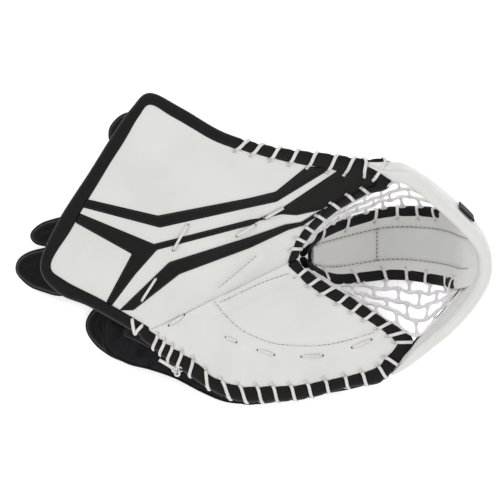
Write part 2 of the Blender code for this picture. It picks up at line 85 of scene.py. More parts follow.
def new_material(name, values):
    """A material with one Principled shader whose uniform values are set on its sockets."""
    made = bpy.data.materials.new(name)
    made.use_nodes = True
    shader = made.node_tree.nodes["Principled BSDF"]
    for key, value in values.items():
        shader.inputs[key].default_value = value
    return made, made.node_tree, shader


def area_lamp(name, at, towards, size, power, colour=(1, 1, 1)):
    data = bpy.data.lights.new(name, "AREA")
    data.shape, data.size, data.energy, data.color = "DISK", size, power, colour
    lamp = bpy.data.objects.new(name, data)
    lamp.location = at
    lamp.rotation_euler = (Vector(towards) - Vector(at)).to_track_quat("-Z", "Y").to_euler()
    bpy.context.scene.collection.objects.link(lamp)


table_paint, tree, shader = new_material(
    "pale_table", {"Roughness": 0.9, "Emission Color": linear("#FFFFFF"), "Emission Strength": 0.45}
)
grid = add_node(tree, "ShaderNodeTexNoise", {"Scale": 6.0, "Detail": 2.0})
tint = add_node(
    tree, "ShaderNodeMapRange", {"To Min": 0.985, "To Max": 1.0}, {"Value": grid.outputs["Fac"]}
)
tree.links.new(tint.outputs["Result"], shader.inputs["Base Color"])

bpy.ops.mesh.primitive_plane_add(size=12, location=(0, 0, 0))
floor = bpy.context.object
floor.name = "table_top"
floor.data.materials.append(table_paint)

world = bpy.data.worlds.new("studio")
world.use_nodes = True
world.node_tree.nodes["Background"].inputs["Color"].default_value = (1, 1, 1, 1)
world.node_tree.nodes["Background"].inputs["Strength"].default_value = 0.68
bpy.context.scene.world = world
area_lamp("key", (-1.2, 1.3, 2.2), (0, 0, 0.05), 1.3, 17)
area_lamp("fill", (1.8, -0.6, 1.9), (0, 0, 0.05), 1.6, 7)
area_lamp("front", (-0.2, -2.0, 1.6), (0, 0, 0.05), 1.6, 6)
bpy.context.scene.view_settings.view_transform = "Standard"

CAMERA_RISE = 2.0
FIELD = 0.5
camera_data = bpy.data.cameras.new("camera")
camera_data.lens = camera_data.sensor_width * CAMERA_RISE / FIELD
camera = bpy.data.objects.new("camera", camera_data)
camera.location = place((0, 0, 80)) + Vector((0, 0, CAMERA_RISE))
bpy.context.scene.collection.objects.link(camera)
bpy.context.scene.camera = camera


# Faces of the cuff and thumb, and of the palm and fingers: microfibre leather coated with white
# polyurethane, cut to the outline and padded by the foam under it. Both lie on one height field
# that is creased along the fold line.
HEEL = (-100, -80)
FOLD_DIR = Vector((0.9, 0.437))
FOLD_SIDE = Vector((-0.437, 0.9))
LAMINATE = 13.5
# Rows of the bound edges: a point on the binding's outer edge and the one beside it on the face.
THUMB_EDGE = (
    (-108, -86, -101, -76),
    (-158, -57, -148, -48),
    (-189, -43, -184, -29),
    (-207, -17, -196, -14),
    (-190, 26, -176, 19),
    (-157, 77, -147, 68),
    (-134, 113, -123, 106),
    (-116, 138, -108, 130),
    (-98, 153, -97, 141),
    (-67, 138, -74, 128),
    (-24, 113, -32, 104),
    (25, 99, 22, 88),
    (81, 92, 78, 77),
    (109, 88, 104, 73),
    (134, 86, 119, 72),
    (136, 62, 121, 64),
    (113, 54, 109, 59),
    (86, 39, 80, 45),
    (68, 24, 62, 29),
    (58, 12, 51, 18),
    (51, 2, 43, 5),
    (48, -7, 38, -12),
)
PALM_EDGE = (
    (48, -11, 38, -17),
    (55, -19, 49, -28),
    (80, -36, 71, -44),
    (100, -47, 94, -57),
    (134, -69, 126, -77),
    (163, -88, 146, -92),
    (163, -106, 144, -100),
    (149, -116, 137, -108),
    (132, -134, 128, -118),
    (101, -139, 102, -126),
    (54, -151, 54, -135),
    (10, -154, 10, -137),
    (-14, -152, -16, -135),
    (-36, -143, -38, -127),
    (-60, -127, -53, -113),
    (-86, -108, -77, -97),
    (-109, -88, -101, -79),
)

# The laced stretches: the edge's points between which they run, and how far along that each stitch
# starts. The stitches crowd together at the heel. Most slant by one amount over their roll; those
# of the top edge turn back at the thumb's tip.
TOP_LACED = (9, 15, (67, 81, 98, 116, 134, 154, 171, 198, 222, 232))
TOP_SLANTS = (7, 7, 7, 7, 7, 7, 7, -12, -18)
THUMB_INNER_LACED = (15, 21, (24, 40, 56, 74, 90, 103, 111, 117))
FINGER_LACED = (0, 7, (7, 23, 40, 56, 72, 88, 107, 125, 140, 156))
PALM_LACED = (
    7, 16, (3, 24, 46, 65, 85, 103, 120, 138, 154, 170, 187, 211, 234, 249, 261, 271, 280, 287)
)
HOLE_IN = 2.2


def leaf_height(x, y):
    """Height of the leather above the table, for numbers or arrays."""
    along = (x - HEEL[0]) * FOLD_DIR[0] + (y - HEEL[1]) * FOLD_DIR[1]
    across = (x - HEEL[0]) * FOLD_SIDE[0] + (y - HEEL[1]) * FOLD_SIDE[1]
    share = np.clip((x + 120) / 200, 0, 1)
    share = share * share * (3 - 2 * share)
    slope = 0.21 + 0.49 * share * (across > 0)
    return 85 + across * slope + 0.001 * np.maximum(0, along - 120) ** 2


def spline(points, steps):
    """A smooth curve through the points, with steps spans between each two, as an array."""
    rows = np.array(points, float)
    rows = np.vstack([2 * rows[0] - rows[1], rows, 2 * rows[-1] - rows[-2]])
    t = (np.arange(steps) / steps)[:, None]
    found = []
    for before, a, b, after in zip(rows, rows[1:], rows[2:], rows[3:]):
        curve = 2 * a + (b - before) * t + (2 * before - 5 * a + 4 * b - after) * t**2
        found.append(0.5 * (curve + (3 * a - 3 * b + after - before) * t**3))
    return np.vstack([*found, rows[-2]])


def respaced(rows, spacing, dims=3):
    """The rows moved to an even spacing, measured on their first dims numbers."""
    steps = np.linalg.norm(np.diff(rows[:, :dims], axis=0), axis=1)
    length = np.concatenate([[0], np.cumsum(steps)])
    wanted = np.linspace(0, length[-1], max(2, round(length[-1] / spacing) + 1))
    return np.stack([np.interp(wanted, length, rows[:, i]) for i in range(rows.shape[1])], 1)


def distance_to(points, line, chunk=4000):
    """Each point's distance to a line of close points, in plan."""
    found = []
    for i in range(0, len(points), chunk):
        gap = points[i : i + chunk, None, :2] - line[None, :, :2]
        found.append(np.sqrt((gap**2).sum(-1)).min(1))
    return np.concatenate(found)


def filled(outline, spacing):
    """Points and triangles that fill an outline evenly."""
    loop = respaced(np.vstack([outline, outline[:1]]), spacing, 2)[:-1]
    low, high = loop.min(0), loop.max(0)
    rows = []
    for i, y in enumerate(np.arange(low[1], high[1], spacing * 0.87)):
        start = low[0] + (i % 2) * spacing / 2
        xs = np.arange(start, high[0], spacing)
        rows.append(np.stack([xs, np.full_like(xs, y)], 1))
    inner = np.vstack(rows)
    inner = inner[distance_to(inner, loop) > spacing * 0.55]
    points = np.vstack([loop, inner])
    count = len(loop)
    edges = [(i, (i + 1) % count) for i in range(count)]
    verts, _, faces, *_ = geometry.delaunay_2d_cdt(
        [Vector(p) for p in points], edges, [list(range(count))], 1, 1e-6
    )
    used = sorted({i for f in faces for i in f})
    number = {old: new for new, old in enumerate(used)}
    return np.array([tuple(verts[i]) for i in used]), [tuple(number[i] for i in f) for f in faces]


def lace_crossings(edge, laced):
    """The rows of a laced stretch, and where in them each stitch starts."""
    first, last, places = laced
    rows = respaced(spline(edge, 10)[10 * first : 10 * last + 1], 1.0, 2)
    return rows, np.array(places, float)


def punched(edge, stretches):
    """Where the lace holes are punched, in plan."""
    found = []
    for stretch in stretches:
        rows, places = lace_crossings(edge, stretch)
        for row in rows[places[:-1].astype(int)]:
            out = (row[:2] - row[2:4]) / np.linalg.norm(row[:2] - row[2:4])
            found.append(row[2:4] - out * HOLE_IN)
    return found


def add_piece(name, points, faces, material):
    """A mesh object from points in the glove's millimetres."""
    mesh = bpy.data.meshes.new(name)
    metres = (np.asarray(points, float) + np.array(SHIFT)) * MM
    mesh.from_pydata(metres.tolist(), [], [tuple(int(i) for i in f) for f in faces])
    form = bmesh.new()
    form.from_mesh(mesh)
    bmesh.ops.recalc_face_normals(form, faces=form.faces)
    if form.calc_volume(signed=True) < 0:
        bmesh.ops.reverse_faces(form, faces=form.faces)
    form.to_mesh(mesh)
    form.free()
    mesh.shade_smooth()
    made = bpy.data.objects.new(name, mesh)
    mesh.materials.append(material)
    bpy.context.scene.collection.objects.link(made)
    return made


def cloth_panel(name, outline, top, thickness, spacing, material, rim=None):
    """A closed sheet on a height field, rounded over along its rim, or the line given for it."""
    flat, faces = filled(outline, spacing)
    if rim is None:
        rim = np.vstack([outline, outline[:1]])
    near = np.clip(distance_to(flat, respaced(rim, 1.0, 2)) / (thickness / 2), 0, 1)
    drop = thickness / 2 * (1 - np.sqrt(1 - (1 - near) ** 2))
    heights = top(flat)
    upper = np.column_stack([flat, heights - drop])
    lower = np.column_stack([flat, heights - thickness])
    count = len(flat)
    below = [tuple(i + count for i in reversed(f)) for f in faces]
    uses = set()
    for f in faces:
        uses.update(zip(f, (*f[1:], f[0])))
    walls = [(b, a, a + count, b + count) for a, b in uses if (b, a) not in uses]
    return add_piece(name, np.vstack([upper, lower]), [*faces, *below, *walls], material)


def soft_noise(points, scale, seed):
    """A smooth wandering value between about -1 and 1, from a few crossed waves."""
    rng = np.random.default_rng(seed)
    total = np.zeros(len(points))
    for _ in range(7):
        turn = rng.uniform(0, 2 * np.pi)
        pitch = scale * rng.uniform(0.6, 1.7)
        wave = points[:, 0] * np.cos(turn) + points[:, 1] * np.sin(turn)
        total += np.sin(wave * 2 * np.pi / pitch + rng.uniform(0, 2 * np.pi))
    return total / 3.5


def leather_material(name, colour, worn, roughness, grain, shine=0.45):
    """Coated microfibre leather: an embossed pebble grain of about a millimetre, drawn at
    grain millimetres so that it shows, a slight change of tone, and a soft satin shine."""
    made, tree, shader = new_material(
        name,
        {"Roughness": roughness, "Specular IOR Level": shine, "Coat Weight": 0.06, "Coat Roughness": 0.35},
    )
    where = add_node(tree, "ShaderNodeTexCoord")
    pebble = add_node(
        tree, "ShaderNodeTexVoronoi", {"Scale": 1000 / grain, "feature": "SMOOTH_F1", "Smoothness": 0.6},
        {"Vector": where.outputs["Object"]},
    )
    folds = add_node(
        tree, "ShaderNodeTexNoise", {"Scale": 1000 / 14, "Detail": 3.0}, {"Vector": where.outputs["Object"]}
    )
    raised = add_node(
        tree, "ShaderNodeMath", {"operation": "MULTIPLY_ADD", 1: 0.35},
        {0: pebble.outputs["Distance"], 2: folds.outputs["Fac"]},
    )
    bump = add_node(
        tree, "ShaderNodeBump", {"Strength": 0.16, "Distance": 0.0006}, {"Height": raised.outputs[0]}
    )
    tree.links.new(bump.outputs["Normal"], shader.inputs["Normal"])
    cloud = add_node(
        tree, "ShaderNodeTexNoise", {"Scale": 1000 / 60, "Detail": 4.0}, {"Vector": where.outputs["Object"]}
    )
    tone = add_node(tree, "ShaderNodeValToRGB", None, {"Fac": cloud.outputs["Fac"]})
    tone.color_ramp.elements[0].position, tone.color_ramp.elements[0].color = 0.3, linear(worn)
    tone.color_ramp.elements[1].position, tone.color_ramp.elements[1].color = 0.6, linear(colour)
    tree.links.new(tone.outputs["Color"], shader.inputs["Base Color"])
    return made


white_leather = leather_material("white_coated_leather", "#E4E4E1", "#DDDDD9", 0.46, 1.3)

# Sewn lines and lace ties on the two faces, which pull the leather down.
PALM_THREAD = (
    (-35, -52), (-22, -68), (-7, -81), (10, -89), (25, -94), (45, -96), (70, -96), (90, -93),
    (105, -89), (124, -83),
)
CREASE_THREAD = ((-29, -52), (-8, -42), (16, -31), (40, -23))
CUFF_THREAD = ((-31, -37), (-15, -24), (6, -6))
THUMB_TIES = (
    ((-61, 25), (-76, 0)), ((-93, -28), (-108, -51)), ((5, 25), (-13, 14)), ((33, 41), (15, 31)),
)
PALM_TIES = (
    ((-81, -75), (-66, -65)), ((-24, -87), (-14, -92)), ((8, -100), (24, -105)),
    ((52, -107), (73, -106)), ((103, -98), (122, -90)),
)


def quilted(flat, seams, ties, holes, crease_side):
    """The leather's height: padded and a little wavy, drawn down at seams, ties, holes and crease."""
    height = leaf_height(flat[:, 0], flat[:, 1])
    height = height + 0.6 * soft_noise(flat, 60, 3)
    for seam in seams:
        gap = distance_to(flat, respaced(spline(seam, 12), 1, 2))
        height += -0.9 * np.exp(-((gap / 1.7) ** 2)) + 1.7 * np.exp(-(((gap - 8) / 6) ** 2))
    for spot in [*holes, *[hole for tie in ties for hole in tie]]:
        gap = np.hypot(flat[:, 0] - spot[0], flat[:, 1] - spot[1])
        height -= 1.2 * np.exp(-((gap / 3.2) ** 2)) + 0.5 * np.exp(-((gap / 9) ** 2))
    across = np.abs((flat - np.array(HEEL)) @ np.array(FOLD_SIDE))
    along = (flat - np.array(HEEL)) @ np.array(FOLD_DIR)
    depth = crease_side * np.clip(along / 60, 0.15, 1)
    height += depth * (1.4 * np.exp(-(((across - 12) / 8) ** 2)) - 3.2 * np.exp(-across / 4.0))
    return height


def face_outline(edge, reach):
    """The panel's outline: the binding's inner edge moved out under the binding by reach."""
    rows = respaced(spline(edge, 10), 2.0, 4)
    outer, inner = rows[:, :2], rows[:, 2:]
    out = (outer - inner) / np.linalg.norm(outer - inner, axis=1)[:, None]
    return inner + out * reach


def on_fold(points, side):
    """The outline's two ends moved to the fold line, so that both faces meet along it."""
    across = (points - np.array(HEEL)) @ np.array(FOLD_SIDE)
    points = points[across * side > 0.3]
    ends = []
    for p in (points[-1], points[0]):
        ends.append(p - np.array(FOLD_SIDE) * ((p - np.array(HEEL)) @ np.array(FOLD_SIDE)))
    return np.vstack([points, ends])


FOLD_REACH = 26


def fold_blend(piece, side):
    """Bakes the piece's placement into its mesh; the fold's middle and the point FOLD_REACH beyond it on
    this side are worked out but not used.
    """
    middle = Vector((-26, -44))
    off = FOLD_SIDE * FOLD_REACH * side
    crease = place((*middle, 85))
    beyond = place((*(middle + off), 85))
    if side > 0:
        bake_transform(piece)
    else:
        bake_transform(piece)


SPACING = 2.0
PADDING = 9.0
UNDER_BINDING = 3.5
THUMB_HOLES = punched(THUMB_EDGE, (TOP_LACED, THUMB_INNER_LACED))
PALM_HOLES = punched(PALM_EDGE, (FINGER_LACED, PALM_LACED))


def thumb_skin(flat):
    return quilted(flat, (CUFF_THREAD,), THUMB_TIES, THUMB_HOLES, 0.6)


def palm_skin(flat):
    return quilted(flat, (PALM_THREAD, CREASE_THREAD), PALM_TIES, PALM_HOLES, 1)


thumb_rim = face_outline(THUMB_EDGE, UNDER_BINDING)
palm_rim = face_outline(PALM_EDGE, UNDER_BINDING)
thumb_outline = on_fold(thumb_rim, 1)
palm_outline = on_fold(palm_rim, -1)
cuff_face = cloth_panel(
    "cuff_and_thumb_face", thumb_outline, thumb_skin, PADDING, SPACING, white_leather, thumb_rim
)
palm_face = cloth_panel(
    "palm_and_finger_face", palm_outline, palm_skin, PADDING, SPACING, white_leather, palm_rim
)
for piece, side, prefix in ((cuff_face, 1, "thumb"), (palm_face, -1, "palm")):
    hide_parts(f"{prefix}_face", f"{prefix}_foam")
    fold_blend(piece, side)


# Bindings: a strip of black bonded leather folded over the edges of the plies of each half and
# glued, so that it stands proud as a rounded roll. Laces pull it in where they cross it.
BINDING_PROUD = 1.8
# The power of the roll's section: below 1 it is squarer than an ellipse.
ROLL = 0.72


def roll_section(row, turns, grow=0.0):
    """Points round a half's binding at the given turns, from its outer side over the top."""
    outer, inner = row[:2], row[2:4]
    width = np.linalg.norm(outer - inner)
    out = (outer - inner) / width
    cos, sin = np.cos(turns), np.sin(turns)
    across = (width / 2 + 0.4 + grow) * np.sign(cos) * np.abs(cos) ** ROLL
    plan = (outer + inner) / 2 + np.outer(across, out)
    rise = (LAMINATE / 2 + BINDING_PROUD + grow) * np.sign(sin) * np.abs(sin) ** ROLL
    height = leaf_height(plan[:, 0], plan[:, 1]) - LAMINATE / 2 + rise
    return np.column_stack([plan, height])


def skin(sections):
    """Faces over rows of equally long rings, closed at both ends."""
    count = len(sections[0])
    faces = []
    for row in range(len(sections) - 1):
        for i in range(count):
            j = (i + 1) % count
            near, far = row * count, (row + 1) * count
            faces.append((near + i, near + j, far + j, far + i))
    faces.append(tuple(reversed(range(count))))
    faces.append(tuple(range((len(sections) - 1) * count, len(sections) * count)))
    return faces


def swept(name, sections, material):
    """A solid over rows of rings, its end rings drawn in to round its ends."""
    sections = [np.asarray(s, float) for s in sections]
    first, last = sections[0].mean(0), sections[-1].mean(0)
    away = first - sections[1].mean(0)
    beyond = last - sections[-2].mean(0)
    away, beyond = away / np.linalg.norm(away), beyond / np.linalg.norm(beyond)
    size = np.linalg.norm(sections[0] - first, axis=1).min()
    ends = ((0.9, 0.22), (0.6, 0.45))
    front = [first + (sections[0] - first) * s + away * size * d for s, d in ends]
    size = np.linalg.norm(sections[-1] - last, axis=1).min()
    back = [last + (sections[-1] - last) * s + beyond * size * d for s, d in ends]
    rings = [*front[::-1], *sections, *back]
    return add_piece(name, np.vstack(rings), skin(rings), material)


def bound_edge(name, edge, laced, material):
    """The binding along an edge, pinched where each stretch's laces cross it."""
    rows = respaced(spline(edge, 10), SPACING * 0.7, 2)
    pinches = []
    for stretch, slant in laced:
        found, places = lace_crossings(edge, stretch)
        middles = np.clip(places[:-1] + np.divide(slant, 2), 0, len(found) - 1).astype(int)
        pinches.append(found[middles, :2])
    pinches = np.vstack(pinches)
    turns = np.arange(24) / 24 * 2 * np.pi
    sections = []
    for row in rows:
        gap = np.sqrt(((pinches - row[:2]) ** 2).sum(1)).min()
        sections.append(roll_section(row, turns, 0.25 - 1.1 * math.exp(-((gap / 3.0) ** 2))))
    return swept(name, sections, material)


def nylon_material(name, colour, worn, thread, roughness, rough_bump=0.35):
    """Woven nylon, or leather bonded to a woven back: a fine over-and-under weave, thread
    millimetres apart, that shows as a dull even tooth, with a little lint."""
    made, tree, shader = new_material(
        name,
        {"Roughness": roughness, "Specular IOR Level": 0.22, "Sheen Weight": 0.04, "Sheen Roughness": 0.5},
    )
    where = add_node(tree, "ShaderNodeTexCoord")
    waves = []
    for direction in ("X", "Y"):
        settings = {"bands_direction": direction, "Scale": 1000 / thread / 6.28, "Distortion": 0.6}
        waves.append(add_node(tree, "ShaderNodeTexWave", settings, {"Vector": where.outputs["Object"]}))
    weave = add_node(
        tree, "ShaderNodeMath", {"operation": "MULTIPLY"},
        {0: waves[0].outputs["Fac"], 1: waves[1].outputs["Fac"]},
    )
    lint = add_node(
        tree, "ShaderNodeTexNoise", {"Scale": 1000 / 9, "Detail": 5.0}, {"Vector": where.outputs["Object"]}
    )
    raised = add_node(
        tree, "ShaderNodeMath", {"operation": "MULTIPLY_ADD", 1: 0.6},
        {0: weave.outputs[0], 2: lint.outputs["Fac"]},
    )
    bump = add_node(
        tree, "ShaderNodeBump", {"Strength": rough_bump, "Distance": 0.0006}, {"Height": raised.outputs[0]}
    )
    tree.links.new(bump.outputs["Normal"], shader.inputs["Normal"])
    tone = add_node(tree, "ShaderNodeValToRGB", None, {"Fac": lint.outputs["Fac"]})
    tone.color_ramp.elements[0].position, tone.color_ramp.elements[0].color = 0.35, linear(colour)
    tone.color_ramp.elements[1].position, tone.color_ramp.elements[1].color = 0.75, linear(worn)
    tree.links.new(tone.outputs["Color"], shader.inputs["Base Color"])
    return made


bound_black = nylon_material("black_bonded_leather", "#0B0A0B", "#111011", 1.2, 0.62, 0.3)
thumb_roll = bound_edge(
    "thumb_edge_binding", THUMB_EDGE, ((TOP_LACED, TOP_SLANTS), (THUMB_INNER_LACED, -3)), bound_black
)
palm_roll = bound_edge(
    "palm_edge_binding", PALM_EDGE, ((FINGER_LACED, 6), (PALM_LACED, -8)), bound_black
)
for piece, side, prefix in ((thumb_roll, 1, "thumb"), (palm_roll, -1, "palm")):
    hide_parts(f"{prefix}_binding")
    fold_blend(piece, side)


# Edge laces: flat braided lace waxed white, whipped over each binding through punched holes. It
# comes up through a hole, slants over the roll, and passes back underneath to the next hole.
LACE_WIDE = 3.3
LACE_THICK = 1.7
KNOT = 5.4
# From a lace or thread lying on a face to the line under it that its flat side faces.
BELOW = np.array([0, 0, 9.0])


def rib_material(name, colour, shade, rib, roughness):
    """Braided lace: ribs rib millimetres apart, coated, with painted shade between the strands where the
    ribs sink, and a little random soiling.
    """
    made, tree, shader = new_material(name, {"Roughness": roughness, "Specular IOR Level": 0.35})
    where = add_node(tree, "ShaderNodeTexCoord")
    ribs = add_node(
        tree, "ShaderNodeTexWave",
        {"bands_direction": "DIAGONAL", "Scale": 1000 / rib / 6.28, "Distortion": 1.5, "Detail": 1.0},
        {"Vector": where.outputs["Object"]},
    )
    soil = add_node(
        tree, "ShaderNodeTexNoise", {"Scale": 1000 / 12, "Detail": 4.0}, {"Vector": where.outputs["Object"]}
    )
    groove_shade_and_soil = add_node(
        tree, "ShaderNodeMath", {"operation": "MULTIPLY_ADD", 1: 0.35},
        {0: ribs.outputs["Fac"], 2: soil.outputs["Fac"]},
    )
    bump = add_node(
        tree, "ShaderNodeBump", {"Strength": 0.4, "Distance": 0.0005}, {"Height": groove_shade_and_soil.outputs[0]}
    )
    tree.links.new(bump.outputs["Normal"], shader.inputs["Normal"])
    # the colour follows the rib wave as well as the noise: painted shade between the strands, plus a random
    # soiled tone
    tone = add_node(tree, "ShaderNodeValToRGB", None, {"Fac": groove_shade_and_soil.outputs[0]})
    tone.color_ramp.elements[0].position, tone.color_ramp.elements[0].color = 0.35, linear(shade)
    tone.color_ramp.elements[1].position, tone.color_ramp.elements[1].color = 0.75, linear(colour)
    tree.links.new(tone.outputs["Color"], shader.inputs["Base Color"])
    return made


def row_at(rows, place_along):
    """The row at a place in evenly spaced rows, between two of them."""
    at = min(max(place_along, 0), len(rows) - 1.001)
    low = int(at)
    return rows[low] + (rows[low + 1] - rows[low]) * (at - low)


def leaf_hole(row, top):
    """The mouth of a lace hole on the face or the underside of a half."""
    out = (row[:2] - row[2:4]) / np.linalg.norm(row[:2] - row[2:4])
    x, y = row[2:4] - out * HOLE_IN
    height = leaf_height(x, y)
    return np.array([x, y, height + 1.2 if top else height - LAMINATE - 1.0])


def leaf_middle(row):
    x, y = (row[:2] + row[2:4]) / 2
    return np.array([x, y, leaf_height(x, y) - LAMINATE / 2])


def whipped(rows, places, slants, lifts, section, hole, middle):
    """The route of a lace whipped over an edge, and the middle that it winds round."""
    route, middles = [], []
    for start, end, slant, lift in zip(places, places[1:], slants, lifts):
        over = start + slant
        back = end - over
        for at, turn in (
            (start, "foot"), (start, "mouth"), (start + 0.12 * slant, 150),
            (start + 0.4 * slant, 112), (start + 0.68 * slant, 68), (start + 0.9 * slant, 28),
            (over, -8), (over + 0.15 * back, -45), (over + 0.4 * back, -85), (over + 0.75 * back, -130),
        ):
            row = row_at(rows, at)
            if turn == "foot":
                point = hole(row, False)
            elif turn == "mouth":
                point = hole(row, True)
            else:
                point = section(row, np.array([math.radians(turn)]), 0.85)[0]
                point = point + np.array([0, 0, lift * (turn > 0)])
            route.append(point)
            middles.append(middle(row))
    return np.array(route), np.array(middles)


def ribbon_rings(route, middles, wide, thick, steps=4):
    """Rings of a flat lace along a route, lying with its flat side to the middle it winds round."""
    route, middles = spline(route, steps), spline(middles, steps)
    ahead = np.gradient(route, axis=0)
    ahead /= np.linalg.norm(ahead, axis=1)[:, None] + 1e-9
    away = route - middles
    across = np.cross(ahead, away)
    across /= np.linalg.norm(across, axis=1)[:, None] + 1e-9
    up = np.cross(across, ahead)
    turns = np.arange(10) / 10 * 2 * np.pi
    side = np.sign(np.cos(turns)) * np.abs(np.cos(turns)) ** 0.8 * wide / 2
    rise = np.sign(np.sin(turns)) * np.abs(np.sin(turns)) ** 0.8 * thick / 2
    return [p + np.outer(side, a) + np.outer(rise, u) for p, a, u in zip(route, across, up)]


def joined_mesh(name, groups, material):
    """One object of several separate swept solids."""
    points, faces, count = [], [], 0
    for rings in groups:
        stacked = np.vstack(rings)
        faces += [tuple(i + count for i in f) for f in skin(rings)]
        points.append(stacked)
        count += len(stacked)
    return add_piece(name, np.vstack(points), faces, material)


def knot(centre, size):
    """Rings of an overhand knot: a lace along a trefoil."""
    t = np.linspace(0, 2 * np.pi, 60)
    path = np.column_stack([
        np.sin(t) + 2 * np.sin(2 * t),
        np.cos(t) - 2 * np.cos(2 * t),
        -1.3 * np.sin(3 * t),
    ]) * size / 3
    path = path + np.array(centre)
    middles = np.tile(np.array(centre, float), (len(path), 1))
    return ribbon_rings(path, middles, LACE_WIDE * 0.8, LACE_THICK, 1)


waxed_lace = rib_material("waxed_braided_lace", "#E9E6E3", "#CFCBC9", 0.9, 0.55)
HEEL_STITCH = (
    (-117, -69, 72), (-117.3, -68.6, 90), (-116.4, -75, 92.5), (-115.4, -81.5, 88),
    (-114.8, -84.5, 80), (-113.4, -82, 87), (-110.6, -78.6, 90.5), (-107.2, -75, 88.5),
    (-107, -74.5, 72),
)
LACES = (
    ("thumb_top_lacing", "thumb_top_lace", THUMB_EDGE, TOP_LACED, TOP_SLANTS, 1),
    ("thumb_inner_lacing", "thumb_inner_lace", THUMB_EDGE, THUMB_INNER_LACED, -3, 1),
    ("finger_inner_lacing", "finger_edge_lace", PALM_EDGE, FINGER_LACED, 6, -1),
    ("palm_lacing", "palm_edge_lace", PALM_EDGE, PALM_LACED, -8, -1),
)
for name, node, edge, stretch, slant, side in LACES:
    rows, places = lace_crossings(edge, stretch)
    count = len(places) - 1
    lifts = np.zeros(count)
    if node == "thumb_top_lace":
        # these two pass over the tongue of the crossbar
        lifts[-2:] = 3.0, 9.0
    if node == "palm_edge_lace":
        lifts[0] = 2.0
    slants = np.broadcast_to(slant, count)
    route, middles = whipped(rows, places, slants, lifts, roll_section, leaf_hole, leaf_middle)
    groups = [ribbon_rings(route, middles, LACE_WIDE, LACE_THICK)]
    if node == "palm_edge_lace":
        tail = np.array([(-73, -121, 74), (-78, -118, 75), (-84, -114, 76), (-91, -110, 77.5)], float)
        groups.append(knot(tail[0], KNOT))
        groups.append(ribbon_rings(tail, tail - BELOW, LACE_WIDE, LACE_THICK))
        # the last stitch is a V over the end of the cuff's binding
        turned = np.array(HEEL_STITCH, float)
        groups.append(ribbon_rings(turned, turned * [1, 1, 0] + [0, 2, 78], LACE_WIDE, LACE_THICK))
    piece = joined_mesh(name, groups, waxed_lace)
    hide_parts(node)
    fold_blend(piece, side)


# Lace ties and needlework on the faces: short lace runs that hold the foam to the leather, and
# lines of waxed thread sewn through both, each stitch between two needle holes.
TIE_WIDE = 2.6
STITCH = 4.6
THREAD = 0.8


def resting(points, height, lift):
    """Plan points put on a face."""
    flat = np.asarray(points, float)[:, :2]
    return np.column_stack([flat, height(flat) + lift])


def tie_rings(tie, height, lift):
    """A lace run between two holes, bowed over the leather."""
    share = np.linspace(0, 1, 14)[:, None]
    flat = np.array(tie[0]) + (np.array(tie[1]) - np.array(tie[0])) * share
    bow = 2.2 * np.abs(np.sin(share[:, 0] * np.pi)) ** 0.35 - 0.6
    route = resting(flat, height, lift) + np.column_stack([np.zeros((14, 2)), bow])
    return ribbon_rings(route, route - BELOW, TIE_WIDE, 1.3, 1)


def stitch_rings(line, height, pitch=STITCH):
    """Thread stitches along a line: each rises from one hole and goes down in the next."""
    rows = respaced(spline(line, 12), pitch, 2)
    groups = []
    for a, b in zip(rows, rows[1:]):
        share = np.linspace(0.14, 0.86, 5)[:, None]
        flat = a + (b - a) * share
        bow = np.array([-0.2, 0.5, 0.65, 0.5, -0.2])
        route = resting(flat, height, 0) + np.column_stack([np.zeros((5, 2)), bow])
        groups.append(ribbon_rings(route, route - BELOW, THREAD, THREAD, 1))
    return groups, rows


def hole_shade_discs(name, spots, radius, material):
    """Dark discs on the leather where laces and needles go through it: painted shade standing in for the
    shadow inside each hole.
    """
    groups = []
    turns = np.arange(10) / 10 * 2 * np.pi
    for spot in spots:
        rings = []
        for share, rise in ((1.0, -0.25), (1.0, 0.1), (0.55, 0.22)):
            ring = np.column_stack([np.cos(turns), np.sin(turns), np.zeros(10)]) * radius * share
            rings.append(np.array(spot) + ring + np.array([0, 0, rise]))
        groups.append(rings)
    return joined_mesh(name, groups, material)


thread = rib_material("waxed_thread", "#D9D7D2", "#B9B7B2", 0.5, 0.6)
black_thread = rib_material("black_waxed_thread", "#2B292B", "#151415", 0.5, 0.6)
# dark material of the hole discs: painted shade standing in for the shadow inside the holes, not a real
# part of the glove
hole_shade_paint = nylon_material("painted_hole_shade", "#232224", "#3A393B", 0.8, 0.9)
NEEDLEWORK = (
    ("cuff", thumb_skin, (CUFF_THREAD,), THUMB_TIES, THUMB_HOLES, 1, 1.5),
    ("palm", palm_skin, (PALM_THREAD, CREASE_THREAD), PALM_TIES, PALM_HOLES, -1, 0.2),
)
for name, height, seams, ties, holes, side, lift in NEEDLEWORK:
    sewn, spots = [], []
    for seam in seams:
        groups, rows = stitch_rings(seam, height)
        sewn += groups
        spots += list(rows)
    mouths = [*holes, *[hole for tie in ties for hole in tie]]
    pieces = [
        joined_mesh(f"{name}_seam_thread", sewn, thread),
        joined_mesh(f"{name}_ties", [tie_rings(tie, height, lift) for tie in ties], waxed_lace),
        # the next two are dark discs of painted shade at the needle holes and the lace holes
        hole_shade_discs(f"{name}_needle_hole_shade", resting(spots, height, 0.1), 0.6, hole_shade_paint),
        hole_shade_discs(f"{name}_lace_hole_shade", resting(mouths, height, 0.2), 1.5, hole_shade_paint),
    ]
    for piece in pieces:
        fold_blend(piece, side)


